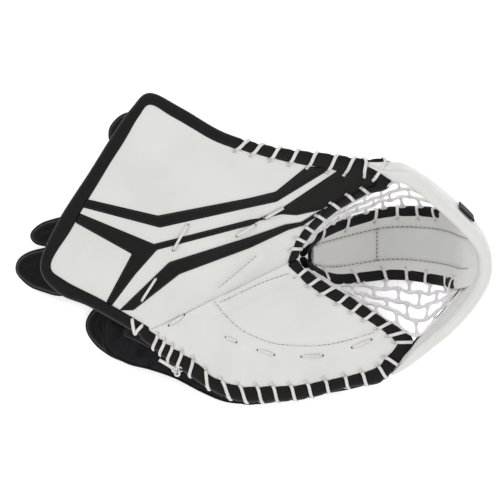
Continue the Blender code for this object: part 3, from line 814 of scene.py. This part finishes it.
# Stripes of the cuff: black coated leather cut to angular outlines, laid on the white leather and
# sewn down near their edges. They have a tighter, shinier finish than the binding.
UPPER_STRIPE = (
    (-160, 50), (-91, 34), (0, 51), (25, 57), (55, 81), (79, 79), (26, 47), (0, 41.5), (-89, 22),
    (-165, 42),
)
MIDDLE_STRIPE = (
    (-167, 36), (-95, 6), (0, 30), (16, 32), (31, 41), (88, 79), (120, 75), (123, 64),
    (109.5, 58.3), (95, 51.5), (81, 44.5), (65.5, 38.3), (46, 34), (31, 35), (14, 31), (0, 24),
    (-92, 0), (-113.5, -24), (-137, -55), (-143, -52), (-117, -4), (-172, 27),
)
LOWER_STRIPE = (
    (-130, -60), (-80, -12), (0, 13), (34.5, 25), (50.5, 27.5), (60, 33.4), (72, 41), (75, 40), (64, 31.5),
    (52, 24), (37.5, 19.5), (0, 2), (-70, -24), (-116, -60),
)
STRIPE = 1.3
STRIPE_PROUD = 0.9


def stripe_skin(flat):
    return thumb_skin(flat) + STRIPE_PROUD


def straight(points):
    """The outline's straight runs as close points."""
    return respaced(np.vstack([points, points[:1]]).astype(float), 1.5, 2)[:-1]


def inset(points, depth):
    """A closed outline moved inwards."""
    rows = np.array(points, float)
    ahead = np.roll(rows, -1, 0) - rows
    ahead /= np.linalg.norm(ahead, axis=1)[:, None]
    behind = np.roll(ahead, 1, 0)
    normal = np.column_stack([-(ahead + behind)[:, 1], (ahead + behind)[:, 0]])
    normal /= np.linalg.norm(normal, axis=1)[:, None]
    area = np.sum(rows[:, 0] * np.roll(rows[:, 1], -1) - np.roll(rows[:, 0], -1) * rows[:, 1])
    opening = np.clip(np.sum(normal * np.column_stack([-ahead[:, 1], ahead[:, 0]]), 1), 0.45, 1)
    return rows + normal * (math.copysign(depth, area) / opening)[:, None]


stripe_leather = leather_material("black_coated_leather", "#0D0D0C", "#131312", 0.44, 1.1, 0.18)
for name, outline in (("upper", UPPER_STRIPE), ("middle", MIDDLE_STRIPE), ("lower", LOWER_STRIPE)):
    cut = cloth_panel(
        f"{name}_stripe_leather", straight(outline), stripe_skin, STRIPE, SPACING, stripe_leather
    )
    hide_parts(f"{name}_stripe")
    fold_blend(cut, 1)
    run = inset(outline, 1.8)
    sewn = []
    for a, b in zip(run, np.roll(run, -1, 0)):
        sewn += stitch_rings((a, b), stripe_skin, 3.6)[0]
    seam = joined_mesh(f"{name}_stripe_thread", sewn, black_thread)
    fold_blend(seam, 1)


# Undersides of the two halves: brushed nylon over a moulded stiffener, both glued to the back of
# the foam and caught in the bindings along their edges.
LINING = 3.0


def underside(flat):
    height = leaf_height(flat[:, 0], flat[:, 1]) - LAMINATE + LINING
    return height + 0.3 * soft_noise(flat, 40, 8)


brushed_nylon = nylon_material("brushed_nylon", "#1B1B1D", "#2C2C2F", 1.6, 0.9, 0.5)
for prefix, outline, rim, side in (
    ("thumb", thumb_outline, thumb_rim, 1),
    ("palm", palm_outline, palm_rim, -1),
):
    lined = cloth_panel(
        f"{prefix}_underside", outline, underside, LINING, SPACING * 1.5, brushed_nylon, rim
    )
    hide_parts(f"{prefix}_lining", f"{prefix}_stiffener")
    fold_blend(lined, side)


# Stem of the pocket: a dished strip of padded white leather between the two nets, sewn in three
# channels with a seam across it, on a black backing, bound and laced along both edges.
STEM = (
    (53, -7, 62, 9),
    (68, -5, 49, 24),
    (87, -3, 31, 32),
    (113, 2, 16, 35.5),
    (139, 6.5, 9, 37.5),
    (165, 7, 12, 38.5),
    (190, 4.5, 28, 39.5),
    (204, 1, 55, 38.5),
    (209, -2, 82, 37),
    (212, -3, 98, 35),
    (217, -4, 110, 32),
    (223, -4, 120, 28),
)
STEM_DISH = 7
STEM_DEEP = 9.7
STEM_ROLL = 12.0
# The length along the stem at which each side's binding ends, where the leather meets the crossbar.
STEM_BOUND = {1: 178, -1: 222}
STEM_SEAM = 0.44
STEM_CROSS_SEAM = 96


def stem_rows(spacing):
    """Evenly spaced rows of the stem: centre, half width, and the direction of its inner side."""
    rows = respaced(spline(STEM, 12), spacing, 3)
    ahead = np.gradient(rows[:, :3], axis=0)
    ahead[:, 1] = 0
    ahead /= np.linalg.norm(ahead, axis=1)[:, None]
    return np.column_stack([rows, -ahead[:, 2], np.zeros(len(rows)), ahead[:, 0]])


def stem_point(row, across, rise):
    """A point across millimetres from the stem's middle and rise above its face. The dish fades
    out where the stem rises to the crossbar."""
    fade = min(1.0, max(0.0, (122 - row[2]) / 40))
    dish = STEM_DISH * (across / row[3]) ** 2 * fade
    return row[:3] + np.array([0, 1, 0]) * across + row[4:7] * (dish + rise)


def stem_puff(row, share, distance):
    """How far the padding stands up, by the share of the way to the edge."""
    gap = abs(abs(share) - STEM_SEAM) * row[3]
    puff = 1.9 * max(0.0, 1 - (share / STEM_SEAM) ** 2) if abs(share) < STEM_SEAM else 1.0
    groove = -1.5 * math.exp(-((gap / 1.6) ** 2))
    if abs(share) < STEM_SEAM:
        groove -= 1.5 * math.exp(-(((distance - STEM_CROSS_SEAM) / 1.6) ** 2))
    return puff + groove


def stem_span(row, distance, count):
    """Places across the stem, from under one binding to under the other, or to the rim past them."""
    reach = []
    for side in (-1, 1):
        hidden = (STEM_ROLL - 3) * min(max((STEM_BOUND[side] + 4 - distance) / 12, 0), 1)
        reach.append(side * (row[3] - hidden))
    return np.linspace(*reach, count)


stem_grid = stem_rows(SPACING)
start_row = int(14 / SPACING)
stem_sections = []
for number, row in enumerate(stem_grid[start_row:]):
    distance = (number + start_row) * SPACING
    span = stem_span(row, distance, 41)
    upper = [stem_point(row, across, stem_puff(row, across / row[3], distance)) for across in span]
    lower = [stem_point(row, across, -2.5) for across in span[::-4]]
    stem_sections.append(np.array(upper + lower))
dished = swept("stem_leather", stem_sections, white_leather)
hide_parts("stem_face")
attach(dished, "pocket")

backing_sections = []
for number, row in enumerate(stem_rows(5)[3:-4]):
    span = stem_span(row, 5 * (number + 3), 13) * 0.9
    upper = [stem_point(row, across, -3.0) for across in span]
    lower = []
    for across in span[::-1]:
        lower.append(stem_point(row, across, -STEM_DEEP + 1.4 + 0.6 * (across / row[3]) ** 2))
    backing_sections.append(np.array(upper + lower))
backing = swept("stem_backing_pad", backing_sections, brushed_nylon)
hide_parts("stem_backing")
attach(backing, "pocket")


def stem_roll_section(side, turn, grow, row):
    """A point of the stem's binding on one side, from its outer side over the top."""
    cos, sin = math.cos(turn), math.sin(turn)
    out = (STEM_ROLL / 2 + grow) * math.copysign(abs(cos) ** ROLL, cos)
    rise = (STEM_DEEP / 2 + 0.8 + grow) * math.copysign(abs(sin) ** ROLL, sin)
    return stem_point(row, side * (row[3] - STEM_ROLL / 2 + out), rise - STEM_DEEP / 2 + 1.2)


# Where along the stem each stitch of a side's lace starts, and how far each one slants.
STEM_LACED = {
    1: ((21, 57, 92, 118, 142, 166, 176), (2, 2, 2, 0, 0, 0)),
    -1: ((26, 65, 100, 127, 152, 182, 216, 221), (4, 8, 7, 4, 2, 18, -6)),
}
fine = stem_rows(1.0)
for side, name in ((1, "thumb"), (-1, "finger")):
    places, slants = (np.array(numbers, float) for numbers in STEM_LACED[side])
    middles = places[:-1] + slants / 2
    sections = []
    for i, row in enumerate(fine[4 : STEM_BOUND[side] : 2]):
        gap = np.abs(middles - (4 + 2 * i)).min()
        tip = max(0, 4 + 2 * i - STEM_BOUND[side] + 10) / 10
        grow = 0.2 - 0.9 * math.exp(-((gap / 3) ** 2)) - 2.5 * tip**2
        ring = [stem_roll_section(side, turn, grow, row) for turn in np.arange(20) / 20 * 2 * np.pi]
        sections.append(np.array(ring))
    roll = swept(f"stem_roll_{name}", sections, bound_black)
    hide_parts(f"stem_binding_{name}")
    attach(roll, "pocket")

    def section(row, turns, grow, side=side):
        return np.array([stem_roll_section(side, turn, grow, row) for turn in turns])

    def hole(row, top, side=side):
        return stem_point(row, side * (row[3] - STEM_ROLL - HOLE_IN), 1.8 if top else -STEM_DEEP)

    def middle(row, side=side):
        return stem_point(row, side * (row[3] - STEM_ROLL / 2), -STEM_DEEP / 2)

    route, centres = whipped(fine, places, slants, 0 * slants, section, hole, middle)
    rings = ribbon_rings(route, centres, LACE_WIDE, LACE_THICK)
    lacing = joined_mesh(f"stem_lacing_{name}", [rings], waxed_lace)
    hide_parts(f"stem_lace_{name}")
    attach(lacing, "pocket")

seam_groups, seam_spots = [], []
for share in (-STEM_SEAM, STEM_SEAM, None):
    if share is None:
        row = fine[STEM_CROSS_SEAM]
        run = np.linspace(-STEM_SEAM, STEM_SEAM, 9) * row[3]
        line = np.array([stem_point(row, across, 0.5 + 1.2 * (1 - abs(across) / 17)) for across in run])
    else:
        line = np.array([stem_point(row, share * row[3], -0.2) for row in fine[18:-14:5]])
    for a, b in zip(line, line[1:]):
        path = a + (b - a) * np.linspace(0.14, 0.86, 5)[:, None]
        path[:, 2] += np.array([-0.2, 0.35, 0.45, 0.35, -0.2])
        seam_groups.append(ribbon_rings(path, path - BELOW, THREAD, THREAD, 1))
    seam_spots += list(line + np.array([0, 0, 0.25]))
stem_thread = joined_mesh("stem_thread", seam_groups, thread)
# dark discs of painted shade at the stem's needle holes
stem_hole_shade = hole_shade_discs("stem_needle_hole_shade", seam_spots, 0.6, hole_shade_paint)
for piece in (stem_thread, stem_hole_shade):
    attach(piece, "pocket")


# Crossbar of the pocket: a padded band of white leather round the far end, in two halves that meet
# over the stem. A roll is sewn along its upper rim, and a black strip binds its lower inner edge.
CROSSBAR_THUMB = (
    (114, 83, 145.5, 2),
    (124, 80.5, 147, 4.5),
    (137, 77, 150, 9),
    (157, 70, 152, 16),
    (181, 52, 149, 20),
    (204, 32, 142, 21),
    (221, 14, 134, 21),
    (228, 1, 127, 20),
)
CROSSBAR_FINGER = (
    (228, 1, 127, 20),
    (229, -17, 121, 21),
    (223, -34, 112, 21),
    (212, -52, 103, 20),
    (196, -72, 93, 17),
    (178, -90, 84, 12),
    (166, -102, 77, 9),
    (157, -112, 68, 7),
    (150, -119, 60, 5),
    (144, -124.5, 55, 3),
)
RING_LEAN = np.array([0, -0.42, 0.9])
TIP_LEAN = np.array([0.2, -1, 0])
RING_THICK = 12


def ring_rows(line, spacing):
    """Rows of the crossbar: centre, half width, band direction and outward direction."""
    rows = respaced(spline(line, 12), spacing, 3)
    ahead = np.gradient(rows[:, :3], axis=0)
    ahead /= np.linalg.norm(ahead, axis=1)[:, None]
    upright = np.clip((rows[:, 0] - 118) / 34, 0, 1) + (rows[:, 1] < 0)
    lean = TIP_LEAN + np.outer(np.clip(upright, 0, 1), RING_LEAN - TIP_LEAN)
    band = lean - ahead * (ahead * lean).sum(1)[:, None]
    band /= np.linalg.norm(band, axis=1)[:, None]
    return rows, band, np.cross(band, ahead)


def crossbar_sections(line, seed):
    """Rings of the padded band, its rim roll and the wrinkles of its bent leather."""
    rows, band, outward = ring_rows(line, SPACING)
    turns = np.arange(44) / 44 * 2 * np.pi
    sections = []
    for i, row in enumerate(rows):
        half = row[3]
        thick = min(RING_THICK / 2, half * 0.6)
        up = np.sign(np.sin(turns)) * np.abs(np.sin(turns)) ** 0.62
        out = np.sign(np.cos(turns)) * np.abs(np.cos(turns)) ** 0.8
        seam_gap = (up - 0.52) * half
        roll = 2.2 * np.exp(-((seam_gap / 1.8) ** 2)) * (np.abs(out) > 0.3)
        spread = np.column_stack([np.full(44, i * SPACING), up * half])
        wrinkle = 0.45 * soft_noise(spread, 16, seed) * np.clip(1 - up, 0.3, 1)
        puff = 1.6 * (up > 0.52) - roll + wrinkle
        sections.append(
            row[:3] + np.outer(up * half, band[i]) + np.outer(out * (thick + puff), outward[i])
        )
    return sections


halves = (("thumb", CROSSBAR_THUMB, 21), ("finger", CROSSBAR_FINGER, 22))
THUMB_BLEND = ("pocket", "thumb_side", (228, 2, 128), (195, 42, 150))
FINGER_BLEND = ("hand_side", "pocket", (222, -40, 110), (228, -2, 127))


def crossbar_blend(piece, half):
    first, second, start, end = THUMB_BLEND if half == "thumb" else FINGER_BLEND
    place(start)
    place(end)
    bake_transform(piece)


for name, line, seed in halves:
    band_piece = swept(f"crossbar_{name}_band", crossbar_sections(line, seed), white_leather)
    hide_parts(f"crossbar_{name}_half")
    crossbar_blend(band_piece, name)
    rows, band, outward = ring_rows(line, 2.5)
    turns = np.arange(12) / 12 * 2 * np.pi
    strips = []
    for row, up, out in zip(rows, band, outward):
        half = row[3]
        if abs(row[1]) < 40 or half < 6:
            continue
        thick = min(RING_THICK / 2, half * 0.6)
        centre = row[:3] - up * (half * 0.86) - out * (thick * 0.55)
        strips.append(centre + np.outer(np.sin(turns) * 3.4, up) + np.outer(np.cos(turns) * 3.2, out))
    strip = swept(f"crossbar_{name}_lower_binding", strips, bound_black)
    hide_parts(f"crossbar_lining_{name}")
    crossbar_blend(strip, name)


# Nets of the pocket: flat braided lace knotted into six-sided cells about 20 mm across, slung
# between the stem and each half, and up to the crossbar.
STRAND = 5.0
WEB_COLUMNS = 8


def at_share(rows, share):
    """The point at a share of a line's length."""
    steps = np.linalg.norm(np.diff(rows, axis=0), axis=1)
    length = np.concatenate([[0], np.cumsum(steps)])
    return np.array([np.interp(share * length[-1], length, rows[:, i]) for i in range(3)])


ZIG_ZAG = 0.24


def net(name, near, far, web_rows, seed):
    """A net of six-sided cells between two lines, as rounded strands joined at their knots."""
    rng = np.random.default_rng(seed)
    ends = 2 * WEB_COLUMNS + 1
    points, index, cells = [], {}, []

    def corner(column, row):
        if (column, row) not in index:
            share = column / ends
            inside = 0 < row < web_rows
            across = row
            if inside:
                across += ZIG_ZAG if (column + row) % 2 else -ZIG_ZAG
            a, b = at_share(near, share), at_share(far, share)
            point = a + (b - a) * across / web_rows
            if inside:
                point = point + rng.normal(0, 1.4, 3) * np.array([1, 1, 0.6])
                point[2] -= 3.0 * math.sin(math.pi * across / web_rows)
            index[(column, row)] = len(points)
            points.append(point)
        return index[(column, row)]

    for row in range(web_rows):
        start = row % 2
        for column in range(start, ends - 1, 2):
            low = [corner(column + k, row) for k in range(3)]
            high = [corner(column + k, row + 1) for k in (2, 1, 0)]
            cells.append(tuple(low + high))
    made = add_piece(name, points, cells, net_lace)
    strands = made.modifiers.new("strands", "WIREFRAME")
    strands.thickness = STRAND * MM
    strands.use_boundary = True
    strands.use_replace = True
    strands.use_even_offset = False
    rounded = made.modifiers.new("rounded", "SUBSURF")
    rounded.levels = rounded.render_levels = 2
    return made


def applied(piece):
    """The piece with its modifiers made into its mesh."""
    graph = bpy.context.evaluated_depsgraph_get()
    mesh = bpy.data.meshes.new_from_object(piece.evaluated_get(graph))
    piece.modifiers.clear()
    piece.data = mesh
    mesh.shade_smooth()
    return piece


net_lace = rib_material("net_lace", "#F2F0F2", "#DBD8DD", 0.9, 0.6)
for side, name, line, edge, first_x, web_rows in (
    (1, "thumb", CROSSBAR_THUMB, THUMB_EDGE[20:15:-1], 150, 3),
    (-1, "finger", CROSSBAR_FINGER[::-1], PALM_EDGE[1:5], 172, 4),
):
    rows, band, outward = ring_rows(line, 4)
    if side < 0:
        outward = -outward
    held = [
        row[:3] - up * row[3] * 0.75 - out * (RING_THICK / 2 - 1)
        for row, up, out in zip(rows, band, outward)
        if abs(row[1]) > 44 and row[0] > first_x
    ]
    stem_edge = fine[8 : STEM_BOUND[side] : 4]
    near = np.array([stem_point(row, side * (row[3] - 1.5), -4) for row in stem_edge])
    tied = []
    for row in respaced(spline(edge, 8), 3, 2):
        out = (row[:2] - row[2:4]) / np.linalg.norm(row[:2] - row[2:4])
        x, y = row[:2] + out * 0.5
        tied.append((x, y, leaf_height(x, y) - LAMINATE * 0.8))
    far = np.array([*tied, *held], float)
    far = far[np.argsort(far[:, 0], kind="stable")]
    web = applied(net(f"{name}_net", near, far, web_rows, 40 + side))
    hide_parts(f"{name}_web")
    if side > 0:
        place((139, 40, 22))
        place((128, 56, 112))
        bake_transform(web)
    else:
        place((122, -50, 70))
        place((139, -40, 20))
        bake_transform(web)


# Soft pads of the back of the hand, the wrist and the cuff: foam in woven nylon covers, sewn and
# turned so that they plump up, with a piped seam round each and lines of quilting.
VOXEL = 5.0
AIR = 4.0
SWELL = 6.0


def even_copy(node, name, voxel, shrink, material):
    """A new object from a plain solid, its surface made of even small squares and drawn in."""
    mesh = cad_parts[node].data.copy()
    made = bpy.data.objects.new(name, mesh)
    bpy.context.scene.collection.objects.link(made)
    form = bmesh.new()
    form.from_mesh(mesh)
    bmesh.ops.remove_doubles(form, verts=form.verts, dist=0.00002)
    form.to_mesh(mesh)
    form.free()
    mesh.materials.clear()
    mesh.materials.append(material)
    remade = made.modifiers.new("even", "REMESH")
    remade.mode = "VOXEL"
    remade.voxel_size = voxel * MM
    softer = made.modifiers.new("softer", "SMOOTH")
    softer.factor, softer.iterations = 0.5, 6
    applied(made)
    for vertex in made.data.vertices:
        vertex.co -= vertex.normal * shrink * MM
    if not made.data.materials:
        made.data.materials.append(material)
    return made


def swelled(piece):
    """Blows the piece up as cloth under air pressure, and keeps its points near their start."""
    start = np.array([v.co for v in piece.data.vertices])
    cloth = piece.modifiers.new("air", "CLOTH")
    cloth.settings.quality = 6
    cloth.settings.use_pressure = True
    cloth.settings.uniform_pressure_force = AIR
    cloth.settings.effector_weights.gravity = 0
    for step in range(1, 21):
        bpy.context.scene.frame_set(step)
    graph = bpy.context.evaluated_depsgraph_get()
    blown = bpy.data.meshes.new_from_object(piece.evaluated_get(graph))
    end = np.array([v.co for v in blown.vertices])
    move = end - start
    far = np.linalg.norm(move, axis=1)[:, None]
    move *= np.minimum(1, SWELL * MM / np.maximum(far, 1e-9))
    piece.modifiers.clear()
    piece.data = blown
    blown.vertices.foreach_set("co", (start + move).ravel())
    bpy.context.scene.frame_set(1)
    return piece


def subdivided(piece):
    finer = piece.modifiers.new("finer", "SUBSURF")
    finer.levels = finer.render_levels = 1
    return applied(piece)


def quilt_down(piece, lines, depth, width):
    """Sinks sewn lines into a pad and ruffles the cloth a little."""
    mesh = piece.data
    count = len(mesh.vertices)
    co = np.empty(count * 3, np.float32)
    normals = np.empty(count * 3, np.float32)
    mesh.vertices.foreach_get("co", co)
    mesh.vertices.foreach_get("normal", normals)
    co, normals = co.reshape(-1, 3).astype(float), normals.reshape(-1, 3)
    plan = co / MM - np.array(SHIFT)
    sink = 0.35 * soft_noise(plan[:, :2], 22, 5) + 0.25 * soft_noise(plan[:, 1:], 17, 6)
    for line in lines:
        gap = distance_to(plan, respaced(np.array(line, float), 1.0, 2))
        facing = np.abs(normals[:, 2]) > 0.2
        sink -= depth * np.exp(-((gap / width) ** 2)) * facing
    co += normals * sink[:, None] * MM
    co[:, 2] = np.maximum(co[:, 2], 0.0003)
    mesh.vertices.foreach_set("co", co.astype(np.float32).ravel())
    mesh.update()
    mesh.shade_smooth()


pad_nylon = nylon_material("padded_nylon", "#0B0A0C", "#121113", 1.5, 0.72, 0.5)
piping_black = nylon_material("nylon_piping", "#100F11", "#1A191B", 0.9, 0.6, 0.4)
BACKHAND_WRIST = (
    (-164, -62), (-171, -76), (-166, -92), (-148, -108), (-126, -117), (-114, -120), (-110, -100),
    (-110, -20), (-114, 12), (-128, 20), (-144, 12), (-147, -20), (-152, -46),
)
BACKHAND_KNUCKLES = (
    (-62, -138), (-40, -151), (-14, -158), (14, -158.5), (22, -130), (24, -60), (28, -10), (20, 6),
    (-30, 10), (-64, 4), (-70, -40), (-68, -90),
)
BACKHAND_FINGERS = (
    (28, -157), (62, -150), (98, -144), (128, -136), (144, -122), (134, -104), (96, -92), (50, -76),
    (28, -80),
)
WRIST_GUARD_LOW = (
    (-160, -34), (-175, -44), (-198, -47), (-226, -38), (-243, -22), (-238, -8), (-220, 0), (-190, 4),
    (-156, 2),
)
WRIST_GUARD_HIGH = (
    (-150, 2), (-186, 6), (-214, 4), (-226, 14), (-216, 26), (-190, 34), (-150, 40),
)
CUFF_BOLSTER = ((-90, 96), (-110, 132), (-126, 136), (-140, 122), (-138, 104), (-120, 84), (-96, 80))


def closed_curve(outline):
    """A smooth closed line through an outline's points."""
    rows = np.array([*outline[-2:], *outline, *outline[:3]], float)
    curve = spline(rows, 8)
    return curve[16 : 16 + 8 * len(outline) + 1]


def piping(name, outline, height, material, pad=None):
    """A cord sewn into the seam round a pad, lying against the pad's side."""
    curve = respaced(closed_curve(outline), 2.0, 2)
    middle = curve.mean(0)
    route = np.column_stack([curve, np.full(len(curve), float(height))])
    if pad:
        for i, point in enumerate(route):
            _, near, normal, _ = pad.closest_point_on_mesh(place(point))
            side = Vector((normal.x, normal.y, 0)).normalized()
            route[i, :2] = (np.array(near) / MM - np.array(SHIFT) + np.array(side) * 0.5)[:2]
        smooth = np.stack([np.roll(route, k, 0) for k in range(-2, 3)]).mean(0)
        route[2:-2] = smooth[2:-2]
    core = np.column_stack([np.tile(middle, (len(curve), 1)), np.full(len(curve), float(height))])
    return joined_mesh(name, [ribbon_rings(route, core, 2.6, 2.6, 1)], material)


PADS = (
    # name, outline, bottom, top, body, quilted lines at these insets
    ("backhand_wrist_pad", BACKHAND_WRIST, 0, 21, "hand_side", (9, 17)),
    ("backhand_knuckle_pad", BACKHAND_KNUCKLES, 0, 21, "hand_side", (12, 26)),
    ("backhand_finger_pad", BACKHAND_FINGERS, 0, 21, "hand_side", (10,)),
    ("wrist_guard_low", WRIST_GUARD_LOW, 1, 26, "wrist_guard", (9,)),
    ("wrist_guard_high", WRIST_GUARD_HIGH, 26.6, 46, "wrist_guard", (8,)),
    ("cuff_bolster", CUFF_BOLSTER, 83, 103, "thumb_side", (8,)),
)
for node, outline, bottom, top, body, insets in PADS:
    pad = even_copy(node, f"{node}_cover", VOXEL, 0.5, pad_nylon)
    swelled(pad)
    subdivided(pad)
    loop = closed_curve(outline)
    lines = [closed_curve(inset(respaced(loop, 9, 2)[:-1], depth)) for depth in insets]
    quilt_down(pad, lines, 1.6, 2.2)
    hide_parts(node)
    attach(pad, body)
    seam = piping(f"{node}_piping", outline, (bottom + top) / 2, piping_black, pad)
    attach(seam, body)


# Sheet that the backhand pads are sewn to, and the glove's lining sits on: quilted nylon over a
# thin felt, bound at its edge.
BACKHAND_BASE = (
    (-148, -60), (-150, -98), (-128, -115), (-103, -122), (-77, -131), (-52, -144), (-29, -154),
    (-10, -157), (14, -157), (41, -152), (62, -148), (98, -143), (128, -134), (140, -120), (132, -106),
    (100, -94), (40, -72), (30, -40), (26, -4), (10, 4), (-30, 6), (-70, 0), (-78, -14), (-106, -14),
    (-112, 4), (-130, 14), (-146, 4), (-150, -28),
)
BASE_TOP = 24.6
BASE = 3.2
QUILT = 14


def base_skin(flat):
    rising, falling = flat[:, 0] + flat[:, 1], flat[:, 0] - flat[:, 1]
    quilting = np.cos(rising * math.pi / QUILT) * np.cos(falling * math.pi / QUILT)
    return BASE_TOP + 0.5 * quilting + 0.3 * soft_noise(flat, 45, 12)


base = cloth_panel(
    "backhand_base_cloth", closed_curve(BACKHAND_BASE)[:-1], base_skin, BASE, SPACING * 1.5, brushed_nylon
)
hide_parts("backhand_base")
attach(base, "hand_side")
base_piping = piping("backhand_base_binding", BACKHAND_BASE, BASE_TOP - BASE / 2, piping_black)
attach(base_piping, "hand_side")


# Stalls for the hand and the thumb: pouches of brushed nylon over foam, open at the wrist, sewn to
# the undersides of the two halves. Their walls sag and crease a little.
for node, body in (("hand_shell", "hand_side"), ("thumb_stall", "thumb_side")):
    stall = even_copy(node, f"{node}_lining", 2.6, 0.1, brushed_nylon)
    subdivided(stall)
    quilt_down(stall, [], 0, 1)
    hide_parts(node)
    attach(stall, body)


# Divider between the finger stalls: one ply of soft black leather, skived thin at its edges and
# sewn between the stalls' walls.
def refined(node, name, round_over, material, body):
    """A CAD piece's own shape with its edges rounded and its faces smoothed."""
    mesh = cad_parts[node].data.copy()
    made = bpy.data.objects.new(name, mesh)
    bpy.context.scene.collection.objects.link(made)
    form = bmesh.new()
    form.from_mesh(mesh)
    bmesh.ops.remove_doubles(form, verts=form.verts, dist=0.00002)
    bmesh.ops.dissolve_limit(form, angle_limit=math.radians(2), verts=form.verts, edges=form.edges)
    form.to_mesh(mesh)
    form.free()
    mesh.materials.clear()
    mesh.materials.append(material)
    rounded = made.modifiers.new("rounded", "BEVEL")
    rounded.width, rounded.segments, rounded.limit_method = round_over * MM, 3, "ANGLE"
    subdivided(made)
    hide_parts(node)
    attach(made, body)
    return made


refined("finger_divider", "finger_divider_leather", 0.6, stripe_leather, "hand_side")


# Guard on the back of the thumb: a plate moulded in polypropylene, with rounded edges, riveted to
# the outside of the thumb stall.
def moulded_material(name, colour, grain, roughness):
    """Injection-moulded plastic: an even satin with a fine spark-eroded texture."""
    made, tree, shader = new_material(
        name, {"Roughness": roughness, "IOR": 1.49, "Specular IOR Level": 0.35}
    )
    where = add_node(tree, "ShaderNodeTexCoord")
    spark = add_node(
        tree, "ShaderNodeTexNoise", {"Scale": 1000 / grain, "Detail": 2.0},
        {"Vector": where.outputs["Object"]},
    )
    bump = add_node(
        tree, "ShaderNodeBump", {"Strength": 0.15, "Distance": 0.0003}, {"Height": spark.outputs["Fac"]}
    )
    tree.links.new(bump.outputs["Normal"], shader.inputs["Normal"])
    tone = add_node(tree, "ShaderNodeValToRGB", None, {"Fac": spark.outputs["Fac"]})
    tone.color_ramp.elements[0].color = linear(colour)
    tone.color_ramp.elements[1].color = linear("#303032")
    tree.links.new(tone.outputs["Color"], shader.inputs["Base Color"])
    return made


guard_plastic = moulded_material("moulded_polypropylene", "#202022", 0.8, 0.45)
refined("thumb_back_guard", "thumb_guard_plate", 1.0, guard_plastic, "thumb_side")


# Wrist strap, its free end, and the pull tab of the crossbar: nylon webbing with hook and loop
# patches, box-stitched where it is sewn down.
WRIST_STRAP = (
    (-92, -100, 15), (-92, -60, 14), (-92, -20, 14), (-92, -5, 22),
    (-92, -3, 40), (-92, -2, 66),
)
STRAP_TAB = ((-92, 2, 66), (-92, 2, 50), (-92, 3, 34), (-92, 4, 20))


def band(name, route, wide, thick, material):
    """Webbing along a route across X, with rounded selvedges and a faint rib along it."""
    rows = respaced(spline(route, 10), 1.5, 3)
    ahead = np.gradient(rows, axis=0)
    ahead /= np.linalg.norm(ahead, axis=1)[:, None]
    sideways = np.array([1.0, 0, 0])
    turns = np.arange(28) / 28 * 2 * np.pi
    sections = []
    for i, (row, along) in enumerate(zip(rows, ahead)):
        up = np.cross(along, sideways)
        across = np.sign(np.cos(turns)) * np.abs(np.cos(turns)) ** 0.35 * wide / 2
        rib = 1 + 0.08 * math.sin(i * 1.6)
        rise = np.sign(np.sin(turns)) * np.abs(np.sin(turns)) ** 0.6 * thick / 2 * rib
        sections.append(row + np.outer(across, sideways) + np.outer(rise, up))
    return swept(name, sections, material)


def sewn_box(name, centre, along, wide, long, material):
    """Box stitching with a cross in it, on a strap."""
    sideways, along = np.array([1.0, 0, 0]), np.array(along, float)
    normal = np.cross(along, sideways)
    corners = [(-1, -1), (1, -1), (1, 1), (-1, 1), (-1, -1), (1, 1)]
    spots = [np.array(centre) + sideways * a * wide / 2 + along * b * long / 2 for a, b in corners]
    spots += [spots[2], spots[1], spots[3]]
    groups = []
    for a, b in zip(spots, spots[1:]):
        steps = max(2, round(np.linalg.norm(b - a) / 3.2))
        line = a + (b - a) * np.linspace(0, 1, steps + 1)[:, None]
        for p, q in zip(line, line[1:]):
            path = p + (q - p) * np.linspace(0.12, 0.88, 5)[:, None]
            path += np.outer([-0.2, 0.2, 0.3, 0.2, -0.2], normal)
            groups.append(ribbon_rings(path, path - normal * 9, THREAD, THREAD, 1))
    return joined_mesh(name, groups, material)


webbing = nylon_material("nylon_webbing", "#18171A", "#29282B", 1.8, 0.66, 0.8)
strap = band("wrist_strap_webbing", WRIST_STRAP, 26, 2.4, webbing)
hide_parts("wrist_strap")
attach(strap, "hand_side")
tab = band("strap_tab_webbing", STRAP_TAB, 24, 2.4, webbing)
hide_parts("strap_tab")
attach(tab, "strap_tab")
box = sewn_box("strap_box_stitch", (-92, 4.2, 44), (0, 0, 1), 17, 20, black_thread)
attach(box, "strap_tab")
refined("crossbar_tab", "crossbar_pull_tab", 0.8, webbing, "thumb_side")
